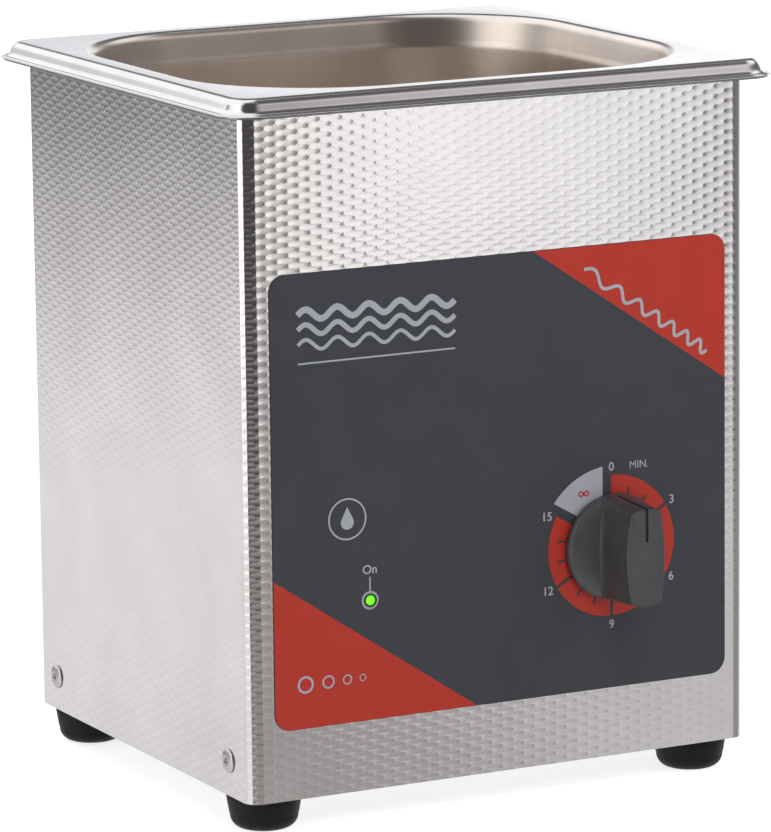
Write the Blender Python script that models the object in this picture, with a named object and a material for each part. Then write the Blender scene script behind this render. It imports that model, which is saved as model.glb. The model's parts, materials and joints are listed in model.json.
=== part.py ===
"""Bench-top ultrasonic cleaner with a stainless tank, a folded steel casing and a clockwork timer.

+X is the right-hand side, -Y the front with the timer knob, +Z up. The origin is the centre
of the base plate's underside, so the rubber feet hang below z = 0. Units are metres.
"""

import math

import bmesh
import bpy
from mathutils import Euler, Matrix, Vector

MM = 0.001
GAP = 0.3 * MM  # free space kept between pieces that touch
FACE_FRONT = (math.radians(90), 0.0, 0.0)  # local Z points to the front, local Y points up
FACE_REAR = (math.radians(-90), 0.0, 0.0)
FACE_RIGHT = (0.0, math.radians(90), 0.0)
FACE_LEFT = (0.0, math.radians(-90), 0.0)
FACE_DOWN = (math.radians(180), 0.0, 0.0)

# Casing
CASING_X = 83.2 * MM  # half width
CASING_Y = 74.6 * MM  # half depth
CASING_TOP = 204.2 * MM
SHEET = 1.0 * MM
BEND = 4.5 * MM  # outer radius of the upright bends
REAR_OPENING_X = 70.0 * MM
REAR_OPENING_TOP = 192.0 * MM
RIVET_Y = 60.6 * MM
RIVET_Z = 10.5 * MM
RIVET_HOLE = 2.2 * MM
TANK_HOLE = (78.2 * MM, 71.7 * MM, 43.0 * MM)  # half sizes and corner radius
GASKET_OUTER = (82.5 * MM, 74.0 * MM, 4.0 * MM)
GASKET_INNER = (79.4 * MM, 72.8 * MM, 44.0 * MM)
SCREW_HOLE = 1.8 * MM  # clearance for the 3 mm screws

# Tank: a one-sixth gastronorm pan, 100 mm deep
RIM_X = 88.0 * MM
RIM_Y = 81.0 * MM
RIM_TOP = 207.5 * MM
TANK_SHEET = 0.9 * MM
OPENING_X = 80.0 * MM
OPENING_Y = 73.5 * MM
OPENING_CORNER = 46.0 * MM
TANK_DEPTH = 100.0 * MM
ROLL = 3.0 * MM
ROLL_END = 65  # degrees at which the rolled edge meets the sloping collar
SHOULDER_DEPTH = 8.0 * MM
WALL_TAPER = 3  # degrees
FLOOR_FILLET = 18.0 * MM

# Front panel
PANEL_X = 75.45 * MM  # half width
PANEL_Z = 66.9 * MM  # half height
PANEL_CENTRE_X = 0.45 * MM
PANEL_CENTRE_Z = 87.8 * MM
PANEL_CORNER = 5.0 * MM
PANEL_THICK = 0.5 * MM
DIAL_X = 36.8 * MM
DIAL_Z = 64.2 * MM
LED_X = -43.7 * MM
LED_Z = 56.7 * MM
LED_HOLE = 2.0 * MM
BUSH_HOLE = 5.4 * MM

# Base and feet
BASE_THICK = 1.2 * MM
BASE_FLANGE = 18.0 * MM
FOOT_X = 71.9 * MM
FOOT_Y = 60.4 * MM
FOOT_HEIGHT = 10.4 * MM
FOOT_TOP_R = 10.6 * MM
FOOT_LOW_R = 9.5 * MM
FOOT_FILLET = 4.0 * MM
FOOT_BORE = 2.4 * MM
FOOT_RECESS_R = 4.7 * MM
FOOT_RECESS = 4.0 * MM
BASE_VENTS_X = (-39.0 * MM, -13.0 * MM, 13.0 * MM, 39.0 * MM)
BASE_VENTS_Y = 54.0 * MM
BASE_VENT = (10.0 * MM, 1.6 * MM, 1.5 * MM)  # half sizes and corner radius

# Rear
REAR_PANEL_X = 78.0 * MM
REAR_PANEL_LOW = 4.0 * MM
REAR_PANEL_TOP = 196.0 * MM
REAR_SCREW_X = 74.0 * MM
REAR_SCREW_LOW = 24.0 * MM
REAR_SCREW_TOP = 180.0 * MM
REAR_VENT = (18.0 * MM, 1.6 * MM, 1.5 * MM)
REAR_VENT_X = 22.0 * MM
REAR_VENT_LOW = 104.0 * MM
REAR_VENT_PITCH = 9.0 * MM
REAR_VENT_ROWS = 5
INLET_X = -38.0 * MM
INLET_Z = 44.0 * MM
INLET_HALF_X = 14.0 * MM
INLET_HALF_Z = 15.5 * MM
INLET_BACK = 52.0 * MM
INLET_FACE = CASING_Y + SHEET + 2 * GAP + 2.5 * MM
SOCKET_Z = INLET_Z - 6.5 * MM
DRAWER_Z = INLET_Z + 9.0 * MM

# Timer, measured from the casing's front face, forwards
SHAFT_R = 3.0 * MM
SHAFT_FLAT = 1.8 * MM  # distance of the shaft's flat from its axis
BUSH_R = 5.0 * MM
KNOB_R = 16.0 * MM
KNOB_TOP_R = 14.3 * MM
KNOB_HEIGHT = 21.5 * MM
GRIP_MID = 6.4 * MM  # half width of the grip bar at its middle
GRIP_END = 4.8 * MM
TIMER_PLATE = 23.0 * MM  # half side of the square movement plates
FRONT_PLATE = -2.5 * MM
BACK_PLATE = -30.0 * MM
PLATE_THICK = 1.2 * MM
PILLAR_PLACES = ((-18.0 * MM, -18.0 * MM), (18.0 * MM, -18.0 * MM), (18.0 * MM, 18.0 * MM))
GEAR_MODULE = 1.0 * MM
MAIN_TEETH = 30
PINION_TEETH = 10
ARBOR_ANGLE = 135  # degrees, counted from +X towards +Z

# Transducer, hanging under the middle of the tank
STACK_R = 19.0 * MM
FRONT_MASS_R = 24.0 * MM
FRONT_MASS = 25.0 * MM
PIEZO = 5.0 * MM
PIEZO_BORE = 7.5 * MM
ELECTRODE = 0.4 * MM
BACK_MASS = 18.0 * MM

# Generator board
BOARD_X0, BOARD_X1 = -62.0 * MM, 48.0 * MM
BOARD_Y0, BOARD_Y1 = -38.0 * MM, 40.0 * MM
BOARD_LOW = 8.0 * MM
BOARD_TOP = 9.6 * MM
STANDOFF_INSET = 5.0 * MM
CORE = (-50.0 * MM, -22.0 * MM, -20.0 * MM, -6.0 * MM)  # X and Y ends of the transformer's core
CORE_HEIGHT = 26.0 * MM
WINDING = (-44.5 * MM, -27.5 * MM, -25.0 * MM, -1.0 * MM)
WINDING_LOW = 5.0 * MM  # above the core's foot
SINK = (-30.0 * MM, 20.0 * MM, 22.0 * MM, 35.0 * MM)  # X and Y ends of the heat sink
SINK_FINS = 7
SINK_FOOT = 4.0 * MM

# Cables
CABLE_R = 1.1 * MM
PIN_END = 44.5  # Y of the inlet pins' inner ends, in millimetres like the routes


# ---------------------------------------------------------------- materials


def material(name, colour, roughness, metallic=0.0):
    made = bpy.data.materials.new(name)
    made.use_nodes = True
    shader = made.node_tree.nodes["Principled BSDF"]
    shader.inputs["Base Color"].default_value = (*colour, 1.0)
    shader.inputs["Roughness"].default_value = roughness
    shader.inputs["Metallic"].default_value = metallic
    return made


# ---------------------------------------------------------------- outlines


def in_mm(points):
    """Points given in millimetres, in metres."""
    return [(x * MM, y * MM) for x, y in points]


def polar(radius, degrees):
    angle = math.radians(degrees)
    return radius * math.cos(angle), radius * math.sin(angle)


def arc(centre, radius, start, end, steps):
    """Points on an arc, its ends included; angles in degrees."""
    points = []
    for i in range(steps + 1):
        x, y = polar(radius, start + (end - start) * i / steps)
        points.append((centre[0] + x, centre[1] + y))
    return points


def circle(radius, steps, centre=(0.0, 0.0)):
    return arc(centre, radius, 0, 360, steps)[:-1]


def rounded_rectangle(half_x, half_y, radius, steps, centre=(0.0, 0.0)):
    points = []
    for sign_x, sign_y, start in ((1, 1, 0), (-1, 1, 90), (-1, -1, 180), (1, -1, 270)):
        x = centre[0] + sign_x * (half_x - radius)
        y = centre[1] + sign_y * (half_y - radius)
        points += arc((x, y), radius, start, start + 90, steps)
    return points


def rectangle(x0, x1, y0, y1):
    return [(x0, y0), (x1, y0), (x1, y1), (x0, y1)]


def d_outline(radius, flat, steps):
    """A circle cut off by a straight flat at the given distance towards +Y."""
    start = math.degrees(math.asin(flat / radius))
    return arc((0.0, 0.0), radius, 180 - start, 360 + start, steps)


def gear_outline(teeth, phase):
    """Straight-flanked teeth, thinned for backlash; phase is the first tooth's angle."""
    pitch = teeth * GEAR_MODULE / 2
    root = pitch - 1.25 * GEAR_MODULE
    tip = pitch + 0.75 * GEAR_MODULE
    root_share = 0.31  # half of a tooth's foot, as a share of the tooth pitch
    tip_share = 0.11
    tooth = 360 / teeth
    points = []
    for i in range(teeth):
        middle = phase + tooth * i
        points.append(polar(root, middle - root_share * tooth))
        points.append(polar(tip, middle - tip_share * tooth))
        points.append(polar(tip, middle + tip_share * tooth))
        points.append(polar(root, middle + root_share * tooth))
    return points


# ---------------------------------------------------------------- solids


def outward(bm):
    bmesh.ops.recalc_face_normals(bm, faces=bm.faces)
    return bm


def prism(outline, low, high, holes=()):
    """A flat outline, with any holes, extruded along Z."""
    bm = bmesh.new()
    for loop in (outline, *holes):
        verts = [bm.verts.new((x, y, low)) for x, y in loop]
        for i in range(len(verts)):
            bm.edges.new((verts[i - 1], verts[i]))
    if holes:
        bmesh.ops.triangle_fill(bm, use_beauty=True, edges=bm.edges)
    else:
        bm.faces.new(bm.verts)
    made = bmesh.ops.extrude_face_region(bm, geom=bm.faces[:])
    moved = [part for part in made["geom"] if isinstance(part, bmesh.types.BMVert)]
    bmesh.ops.translate(bm, verts=moved, vec=(0, 0, high - low))
    return outward(bm)


def box(x0, x1, y0, y1, z0, z1):
    return prism(rectangle(x0, x1, y0, y1), z0, z1)


def loft(loops):
    """Loops of equally many 3D points joined one to the next, with flat caps."""
    bm = bmesh.new()
    rings = [[bm.verts.new(point) for point in loop] for loop in loops]
    for lower, upper in zip(rings, rings[1:]):
        for i in range(len(lower)):
            bm.faces.new((lower[i - 1], lower[i], upper[i], upper[i - 1]))
    bm.faces.new(rings[0][::-1])
    bm.faces.new(rings[-1])
    return outward(bm)


def lathe(profile, steps):
    """Turned about Z from (radius, z) points; a profile that leaves the axis is closed round."""
    bm = bmesh.new()
    rings = []
    for radius, z in profile:
        if radius == 0:
            rings.append([bm.verts.new((0, 0, z))])
        else:
            rings.append([bm.verts.new((x, y, z)) for x, y in circle(radius, steps)])
    pairs = list(zip(rings, rings[1:]))
    if len(rings[0]) > 1:
        pairs.append((rings[-1], rings[0]))
    for one, two in pairs:
        for i in range(steps):
            if len(one) == 1:
                bm.faces.new((one[0], two[i], two[i - 1]))
            elif len(two) == 1:
                bm.faces.new((one[i - 1], one[i], two[0]))
            else:
                bm.faces.new((one[i - 1], one[i], two[i], two[i - 1]))
    return outward(bm)


def place(bm, offset=(0, 0, 0), rotation=(0, 0, 0)):
    bmesh.ops.rotate(bm, verts=bm.verts, matrix=Euler(rotation).to_matrix())
    bmesh.ops.translate(bm, verts=bm.verts, vec=offset)
    return bm


def mesh_of(name, bm):
    mesh = bpy.data.meshes.new(name)
    bm.to_mesh(mesh)
    bm.free()
    return mesh


def combine(bm, tools, operation):
    """The bmesh with each tool joined to it or cut from it by an exact Boolean."""
    target = bpy.data.objects.new("target", mesh_of("target", bm))
    bpy.context.collection.objects.link(target)
    helpers = []
    for tool in tools:
        helper = bpy.data.objects.new("tool", mesh_of("tool", tool))
        bpy.context.collection.objects.link(helper)
        modifier = target.modifiers.new("tool", "BOOLEAN")
        modifier.operation = operation
        modifier.solver = "EXACT"
        modifier.object = helper
        helpers.append(helper)
    graph = bpy.context.evaluated_depsgraph_get()
    result = bmesh.new()
    result.from_object(target, graph)
    for helper in (target, *helpers):
        bpy.data.objects.remove(helper)
    return result


def cut(bm, *tools):
    return combine(bm, tools, "DIFFERENCE")


def join(bm, *tools):
    return combine(bm, tools, "UNION")


def keep_common(bm, tool):
    return combine(bm, (tool,), "INTERSECT")


def add(name, bm, finish, location=(0, 0, 0), rotation=(0, 0, 0), smooth=35):
    """Links the finished piece to the scene as its own object."""
    mesh = mesh_of(name, bm)
    mesh.materials.append(finish)
    mesh.shade_smooth()
    mesh.set_sharp_from_angle(angle=math.radians(smooth))
    piece = bpy.data.objects.new(name, mesh)
    piece.location = location
    piece.rotation_euler = rotation
    bpy.context.collection.objects.link(piece)
    return piece


def add_copy(name, source, location, rotation=None):
    piece = source.copy()
    piece.name = name
    piece.location = location
    if rotation is not None:
        piece.rotation_euler = rotation
    bpy.context.collection.objects.link(piece)
    return piece


def add_tube(name, points, radius, finish):
    """A cable through the given points, as a curve with a round bevel and filled ends."""
    curve = bpy.data.curves.new(name, "CURVE")
    curve.dimensions = "3D"
    curve.resolution_u = 3
    curve.bevel_depth = radius
    curve.bevel_resolution = 1
    curve.use_fill_caps = True
    spline = curve.splines.new("NURBS")
    spline.points.add(len(points) - 1)
    for point, place_of in zip(spline.points, points):
        point.co = (*place_of, 1.0)
    spline.use_endpoint_u = True
    spline.order_u = 3
    curve.materials.append(finish)
    piece = bpy.data.objects.new(name, curve)
    bpy.context.collection.objects.link(piece)
    return piece


def pan_head_screw(radius, length, steps=10):
    """A cross-recess screw pointing down local -Z, with its head's underside at z = 0."""
    head_r = 2.0 * radius
    head = 1.3 * radius
    dome = 0.6 * head_r
    profile = [(0, head), (dome, 0.93 * head), (head_r, 0.35 * head), (head_r, 0)]
    profile += [(radius, 0), (radius, -length), (0, -length)]
    slot_half = 0.22 * radius
    reach = 1.05 * radius
    floor = 0.35 * head
    cross = [
        box(-reach, reach, -slot_half, slot_half, floor, 2 * head),
        box(-slot_half, slot_half, -reach, reach, floor * 1.02, 2 * head),
    ]
    return cut(lathe(profile, steps), *cross)


def hex_nut(half_flat, bore, height, steps=12):
    corner = half_flat / math.cos(math.radians(30))
    return prism(circle(corner, 6), 0, height, [circle(bore, steps)])


def upright(outline, y_front, y_back, holes=()):
    """A plate that stands across Y, from an outline in X and Z."""
    return place(prism(outline, -y_back, -y_front, holes), rotation=FACE_FRONT)


def bore(radius, at, rotation=(0, 0, 0), reach=4.0 * MM, steps=16):
    """A round cutter centred on a point."""
    return place(prism(circle(radius, steps), -reach, reach), at, rotation)


# ---------------------------------------------------------------- tank and casing


def tank_profile():
    """Half sizes, corner radius and height of the upper surface, from the lip to the floor."""
    lip_top = RIM_TOP - 5.5 * MM
    edge_roll = 2.4 * MM
    skirt = 2.4 * MM  # how far the skirt stands inside the lip's edge
    rows = [
        (RIM_X, RIM_Y, 3.0 * MM, lip_top),
        (RIM_X - 1.2 * MM, RIM_Y - 1.2 * MM, 9.0 * MM, lip_top + 0.1 * MM),
        (RIM_X - 2.0 * MM, RIM_Y - 2.0 * MM, 8.5 * MM, lip_top + 0.8 * MM),
    ]
    for step in range(4):
        across, up = polar(edge_roll, 30 * step)
        inset = skirt + edge_roll - across
        rows.append((RIM_X - inset, RIM_Y - inset, 10.5 * MM - inset, RIM_TOP - edge_roll + up))
    for step in range(4):
        across, up = polar(ROLL, 90 - ROLL_END * step / 3)
        rows.append(
            (OPENING_X - across, OPENING_Y - across, OPENING_CORNER - across, RIM_TOP - ROLL + up)
        )
    half_x, half_y, corner, z = rows[-1]
    drop = z - (RIM_TOP - SHOULDER_DEPTH)
    inset = drop / math.tan(math.radians(ROLL_END))
    rows.append((half_x - inset, half_y - inset, corner - inset, z - drop))
    half_x, half_y, corner, z = rows[-1]
    floor = RIM_TOP - TANK_DEPTH
    inset = (z - floor - FLOOR_FILLET) * math.tan(math.radians(WALL_TAPER))
    half_x, half_y, corner = half_x - inset, half_y - inset, corner - inset
    for step in range(5):
        across, up = polar(FLOOR_FILLET, 22.5 * step)
        inset = FLOOR_FILLET - across
        rows.append((half_x - inset, half_y - inset, corner - inset, floor + FLOOR_FILLET - up))
    return rows


def offset_rows(rows, distance):
    """The rows of the underside: each moved square to the sheet by its thickness."""
    moved = []
    for i, (half_x, half_y, corner, z) in enumerate(rows):
        normals = []
        for a, b in ((i - 1, i), (i, i + 1)):
            if a >= 0 and b < len(rows):
                along = Vector((rows[b][0] - rows[a][0], rows[b][3] - rows[a][3])).normalized()
                normals.append(Vector((-along.y, along.x)))
        normal = sum(normals, Vector((0, 0))).normalized()
        shift = normal * (distance / max(0.5, normal.dot(normals[0])))
        moved.append((half_x + shift.x, half_y + shift.x, corner + shift.x, z + shift.y))
    return moved


def make_tank(finish):
    steps = 6
    upper = tank_profile()
    lower = offset_rows(upper, TANK_SHEET)
    loops = []
    for half_x, half_y, corner, z in upper[::-1] + lower:
        outline = rounded_rectangle(half_x, half_y, corner, steps)
        loops.append([(x, y, z) for x, y in outline])
    add("tank", loft(loops), finish, smooth=50)


def make_rim_gasket(finish):
    outer = rounded_rectangle(*GASKET_OUTER, 4)
    inner = rounded_rectangle(*GASKET_INNER, 7)
    add("rim_gasket", prism(outer, CASING_TOP + GAP, RIM_TOP - TANK_SHEET - GAP, [inner]), finish)


def make_casing(finish):
    shell = prism(rounded_rectangle(CASING_X, CASING_Y, BEND, 5), 0, CASING_TOP)
    reach = 5.0 * MM
    hollow = rounded_rectangle(CASING_X - SHEET, CASING_Y - SHEET, BEND - SHEET, 5)
    tank_hole = rounded_rectangle(*TANK_HOLE, 7)
    cutters = [
        prism(hollow, -reach, CASING_TOP - SHEET),
        prism(tank_hole, CASING_TOP - reach, CASING_TOP + reach),
        box(
            -REAR_OPENING_X,
            REAR_OPENING_X,
            CASING_Y - reach,
            CASING_Y + reach,
            -reach,
            REAR_OPENING_TOP,
        ),
        bore(LED_HOLE, (LED_X, -CASING_Y, LED_Z), FACE_FRONT),
        bore(BUSH_HOLE, (DIAL_X, -CASING_Y, DIAL_Z), FACE_FRONT),
    ]
    for side in (-1, 1):
        for end in (-1, 1):
            cutters.append(
                bore(RIVET_HOLE, (side * CASING_X, end * RIVET_Y, RIVET_Z), FACE_RIGHT, steps=12)
            )
        for z in (REAR_SCREW_LOW, REAR_SCREW_TOP):
            cutters.append(bore(SCREW_HOLE, (side * REAR_SCREW_X, CASING_Y, z), FACE_REAR, steps=12))
    add("casing", cut(shell, *cutters), finish)


def make_base_plate(finish):
    outline = rounded_rectangle(CASING_X - SHEET - GAP, CASING_Y - SHEET - GAP, 4.0 * MM, 4)
    holes = []
    for x in (-FOOT_X, FOOT_X):
        for y in (-FOOT_Y, FOOT_Y):
            holes.append(circle(FOOT_BORE, 12, (x, y)))
    for x in BASE_VENTS_X:
        for y in (-BASE_VENTS_Y, BASE_VENTS_Y):
            holes.append(rounded_rectangle(*BASE_VENT, 2, (x, y)))
    plate = prism(outline, 0, BASE_THICK, holes)
    outer = CASING_X - SHEET - 0.45 * MM
    flanges = []
    for side in (-1, 1):
        x0, x1 = sorted((side * outer, side * (outer - BASE_THICK)))
        flange = box(x0, x1, -66.0 * MM, 66.0 * MM, 0.4 * MM, BASE_FLANGE)
        holes = [
            bore(RIVET_HOLE, (side * outer, y, RIVET_Z), FACE_RIGHT, steps=12)
            for y in (-RIVET_Y, RIVET_Y)
        ]
        flanges.append(cut(flange, *holes))
    add("base_plate", join(plate, *flanges), finish)


def make_side_rivets(finish):
    profile = [
        (0, -1.0),
        (0.95, -1.0),
        (0.95, 1.35),
        (1.9, 1.5),
        (2.9, 1.15),
        (3.45, 0.45),
        (3.45, 0),
        (1.9, 0),
        (1.9, -3.2),
        (2.7, -3.7),
        (2.7, -6.2),
        (0, -7.0),
    ]
    body = lathe(in_mm(profile), 10)
    x = CASING_X + GAP
    first = add("side_rivet_left_front", body, finish, (-x, -RIVET_Y, RIVET_Z), FACE_LEFT)
    add_copy("side_rivet_left_rear", first, (-x, RIVET_Y, RIVET_Z))
    add_copy("side_rivet_right_front", first, (x, -RIVET_Y, RIVET_Z), FACE_RIGHT)
    add_copy("side_rivet_right_rear", first, (x, RIVET_Y, RIVET_Z), FACE_RIGHT)


def make_rear_panel(panel_finish, screw_finish):
    middle = (REAR_PANEL_LOW + REAR_PANEL_TOP) / 2
    half = (REAR_PANEL_TOP - REAR_PANEL_LOW) / 2
    outline = rounded_rectangle(REAR_PANEL_X, half, 3.0 * MM, 4, (0, middle))
    slack = 0.4 * MM
    half_x, half_z = INLET_HALF_X + slack, INLET_HALF_Z + slack
    holes = [rectangle(INLET_X - half_x, INLET_X + half_x, INLET_Z - half_z, INLET_Z + half_z)]
    for x in (-REAR_SCREW_X, REAR_SCREW_X):
        for z in (REAR_SCREW_LOW, REAR_SCREW_TOP):
            holes.append(circle(SCREW_HOLE, 10, (x, z)))
    for row in range(REAR_VENT_ROWS):
        z = REAR_VENT_LOW + REAR_VENT_PITCH * row
        for x in (-REAR_VENT_X, REAR_VENT_X):
            holes.append(rounded_rectangle(*REAR_VENT, 2, (x, z)))
    front = CASING_Y + GAP
    add("rear_panel", upright(outline, front, front + SHEET, holes), panel_finish)
    y = front + SHEET + GAP
    screw = pan_head_screw(1.5 * MM, 7.0 * MM)
    first = add(
        "rear_screw_1", screw, screw_finish, (-REAR_SCREW_X, y, REAR_SCREW_LOW), FACE_REAR
    )
    places = [(REAR_SCREW_X, REAR_SCREW_LOW), (-REAR_SCREW_X, REAR_SCREW_TOP)]
    places.append((REAR_SCREW_X, REAR_SCREW_TOP))
    for i, (x, z) in enumerate(places):
        add_copy(f"rear_screw_{i + 2}", first, (x, y, z))


def make_feet(rubber, screw_finish):
    low = -FOOT_HEIGHT
    profile = [(FOOT_BORE, -GAP), (FOOT_TOP_R, -GAP)]
    profile += arc((FOOT_LOW_R - FOOT_FILLET, low + FOOT_FILLET), FOOT_FILLET, 0, -90, 4)
    roof = low + FOOT_RECESS
    profile += [(FOOT_RECESS_R, low), (FOOT_RECESS_R, roof), (FOOT_BORE, roof)]
    head_seat = roof - GAP
    places = {
        "front_left": (-FOOT_X, -FOOT_Y),
        "front_right": (FOOT_X, -FOOT_Y),
        "rear_left": (-FOOT_X, FOOT_Y),
        "rear_right": (FOOT_X, FOOT_Y),
    }
    foot = None
    for name, (x, y) in places.items():
        if foot is None:
            foot = add(f"foot_{name}", lathe(profile, 16), rubber, (x, y, 0))
            screw = add(
                f"foot_screw_{name}",
                pan_head_screw(2.0 * MM, 12.0 * MM),
                screw_finish,
                (x, y, head_seat),
                FACE_DOWN,
            )
        else:
            add_copy(f"foot_{name}", foot, (x, y, 0))
            add_copy(f"foot_screw_{name}", screw, (x, y, head_seat))


# ---------------------------------------------------------------- front


def make_control_panel(film, lens):
    centre = (PANEL_CENTRE_X, PANEL_CENTRE_Z)
    outline = rounded_rectangle(PANEL_X, PANEL_Z, PANEL_CORNER, 6, centre)
    holes = [circle(LED_HOLE, 16, (LED_X, LED_Z)), circle(BUSH_HOLE, 20, (DIAL_X, DIAL_Z))]
    back = -CASING_Y - GAP
    add("control_panel", upright(outline, back - PANEL_THICK, back, holes), film)
    profile = [
        (0, -7.0),
        (1.9, -7.0),
        (1.9, -6.0),
        (1.55, -6.0),
        (1.55, 0.5),
        (1.2, 1.0),
        (0.65, 1.3),
        (0, 1.4),
    ]
    led = lathe(in_mm(profile), 14)
    add("status_led", led, lens, (LED_X, -CASING_Y, LED_Z), FACE_FRONT)


def grip_outline():
    """The grip bar in plan: two shallow arcs, widest at the middle."""
    length = KNOB_R + 1.0 * MM
    steps = 8
    right = []
    for i in range(steps + 1):
        share = 2 * i / steps - 1
        half = GRIP_END + (GRIP_MID - GRIP_END) * (1 - (share * length / KNOB_TOP_R) ** 2)
        right.append((half, share * length))
    return right + [(-x, y) for x, y in right[::-1]]


def make_knob(finish):
    """Round skirt and a barrel-shaped grip bar whose ends lean in, with a pointer groove."""
    profile = [
        (0, 5.9),
        (8.0, 5.7),
        (12.0, 5.2),
        (14.5, 4.4),
        (15.6, 3.5),
        (16.0, 2.6),
        (16.0, 1.3),
        (0, 1.3),
    ]
    skirt = lathe(in_mm(profile), 32)
    low = 1.9 * MM
    bar = prism(grip_outline(), low, KNOB_HEIGHT)
    slope = (KNOB_R - KNOB_TOP_R) / KNOB_HEIGHT
    cone = lathe(
        [
            (0, 0),
            (KNOB_R - 0.05 * MM, 0),
            (KNOB_TOP_R - slope * MM, KNOB_HEIGHT + MM),
            (0, KNOB_HEIGHT + MM),
        ],
        36,
    )
    body = join(skirt, keep_common(bar, cone))
    recess = place(prism(circle(9.5 * MM, 24), -MM, 4.3 * MM))
    shaft_hole = prism(d_outline(SHAFT_R + GAP, SHAFT_FLAT + GAP, 14), 0, 19.3 * MM)
    groove_side = [(4.9, 20.9), (13.75, 20.9), (15.1, 6.5), (17.5, 6.5), (17.5, 23), (4.9, 23)]
    groove = prism(in_mm(groove_side), -0.5 * MM, 0.5 * MM)
    groove.transform(Matrix(((0, 0, 1, 0), (1, 0, 0, 0), (0, 1, 0, 0), (0, 0, 0, 1))))
    body = cut(body, recess, shaft_hole, groove)
    add("timer_knob", body, finish, (DIAL_X, -CASING_Y, DIAL_Z), FACE_FRONT)


# ---------------------------------------------------------------- timer movement


def add_timer(name, bm, finish, at=(0, 0), smooth=35):
    """A timer piece, from a shape whose Z points forwards from the casing's face."""
    where = (DIAL_X + at[0], -CASING_Y, DIAL_Z + at[1])
    return add(name, bm, finish, where, FACE_FRONT, smooth)


def arbor_place():
    distance = (MAIN_TEETH + PINION_TEETH) * GEAR_MODULE / 2
    return polar(distance, ARBOR_ANGLE)


def make_timer_frame(finish, nut_finish):
    pivot = 1.4 * MM
    plate = rounded_rectangle(TIMER_PLATE, TIMER_PLATE, 3.0 * MM, 3)
    arbor_hole = circle(pivot, 10, arbor_place())
    front = prism(
        plate, FRONT_PLATE - PLATE_THICK, FRONT_PLATE, [circle(4.2 * MM, 16), arbor_hole]
    )
    bush_profile = [
        (SHAFT_R + GAP, -3.4 * MM),
        (BUSH_R, -3.4 * MM),
        (BUSH_R, 3.6 * MM),
        (SHAFT_R + GAP, 3.6 * MM),
    ]
    add_timer("timer_front_plate", join(front, lathe(bush_profile, 20)), finish)
    add_timer(
        "timer_nut",
        place(hex_nut(6.5 * MM, BUSH_R + GAP, 2.2 * MM, 20), (0, 0, 1.1 * MM)),
        nut_finish,
    )
    back = prism(
        plate, BACK_PLATE - PLATE_THICK, BACK_PLATE, [circle(1.9 * MM, 12), arbor_hole]
    )
    pillars = []
    for at in PILLAR_PLACES:
        pillar = prism(
            circle(2.5 * MM, 12), BACK_PLATE - 0.5 * MM, FRONT_PLATE - PLATE_THICK - GAP
        )
        pillars.append(place(pillar, (*at, 0)))
    add_timer("timer_back_plate", join(back, *pillars), finish)


def make_timer_drive(steel, brass):
    """The pieces that turn with the knob, and the escapement arbor that the main gear drives."""
    shaft_profile = [(0, -32), (1.6, -32), (1.6, -29.7), (3, -29.7), (3, 19), (0, 19)]
    shaft = lathe(in_mm(shaft_profile), 16)
    reach = 10 * MM
    flat = box(-reach, reach, SHAFT_FLAT, reach, 3.8 * MM, 30.0 * MM)
    add_timer("timer_shaft", cut(shaft, flat), steel)
    hub = [circle(SHAFT_R + GAP, 16)]
    wheel = prism(gear_outline(MAIN_TEETH, 0), -9.0 * MM, -6.0 * MM, hub)
    add_timer("timer_main_gear", wheel, brass)
    notch_half = 10  # degrees
    cam = arc((0, 0), 9.0 * MM, -90 + notch_half, 270 - notch_half, 30)
    cam += arc((0, 0), 7.4 * MM, 270 - notch_half, 270 + notch_half, 2)
    add_timer("timer_cam", prism(cam, -15.0 * MM, -12.0 * MM, hub), brass)

    tooth = 360 / PINION_TEETH
    facing = ARBOR_ANGLE + 180
    main_phase = (ARBOR_ANGLE / (360 / MAIN_TEETH)) % 1
    phase = facing + (0.5 + main_phase) * tooth
    leaves = prism(gear_outline(PINION_TEETH, phase), -9.4 * MM, -5.6 * MM)
    spindle = prism(circle(MM, 10), -31.6 * MM, -2.0 * MM)
    add_timer("timer_pinion", join(leaves, spindle), steel, arbor_place())
    escape = []
    escape_teeth = 15
    for i in range(escape_teeth):
        start = 360 * i / escape_teeth
        escape.append(polar(8.0 * MM, start))
        escape.append(polar(6.3 * MM, start + 4))
        escape.append(polar(6.3 * MM, start + 14))
    wheel = prism(escape, -24.0 * MM, -23.0 * MM, [circle(MM + GAP, 10)])
    add_timer("timer_escape_wheel", wheel, brass, arbor_place())


def make_mainspring(finish):
    """A flat coil whose inner end lies against the shaft."""
    turns = 3
    steps = 14 * turns
    first = SHAFT_R + 0.6 * MM
    growth = 1.8 * MM  # per turn
    strip = 0.5 * MM
    inner = []
    outer = []
    for i in range(steps + 1):
        degrees = 360 * turns * i / steps
        radius = first + growth * degrees / 360
        inner.append(polar(radius, degrees))
        outer.append(polar(radius + strip, degrees))
    coil = prism(inner + outer[::-1], -28.0 * MM, -19.0 * MM)
    add_timer("timer_mainspring", coil, finish)


def make_timer_switch(finish):
    body = box(-10.0 * MM, 10.0 * MM, -21.5 * MM, -15.0 * MM, -17.0 * MM, -10.4 * MM)
    plunger = box(-1.2 * MM, 1.2 * MM, -16.0 * MM, -9.4 * MM, -14.4 * MM, -12.6 * MM)
    tabs = [
        box(x - 0.4 * MM, x + 0.4 * MM, -26.0 * MM, -21.0 * MM, -15.2 * MM, -12.2 * MM)
        for x in (-7.0 * MM, 0.0, 7.0 * MM)
    ]
    add_timer("timer_switch", join(body, plunger, *tabs), finish)


# ---------------------------------------------------------------- mains inlet


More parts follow.
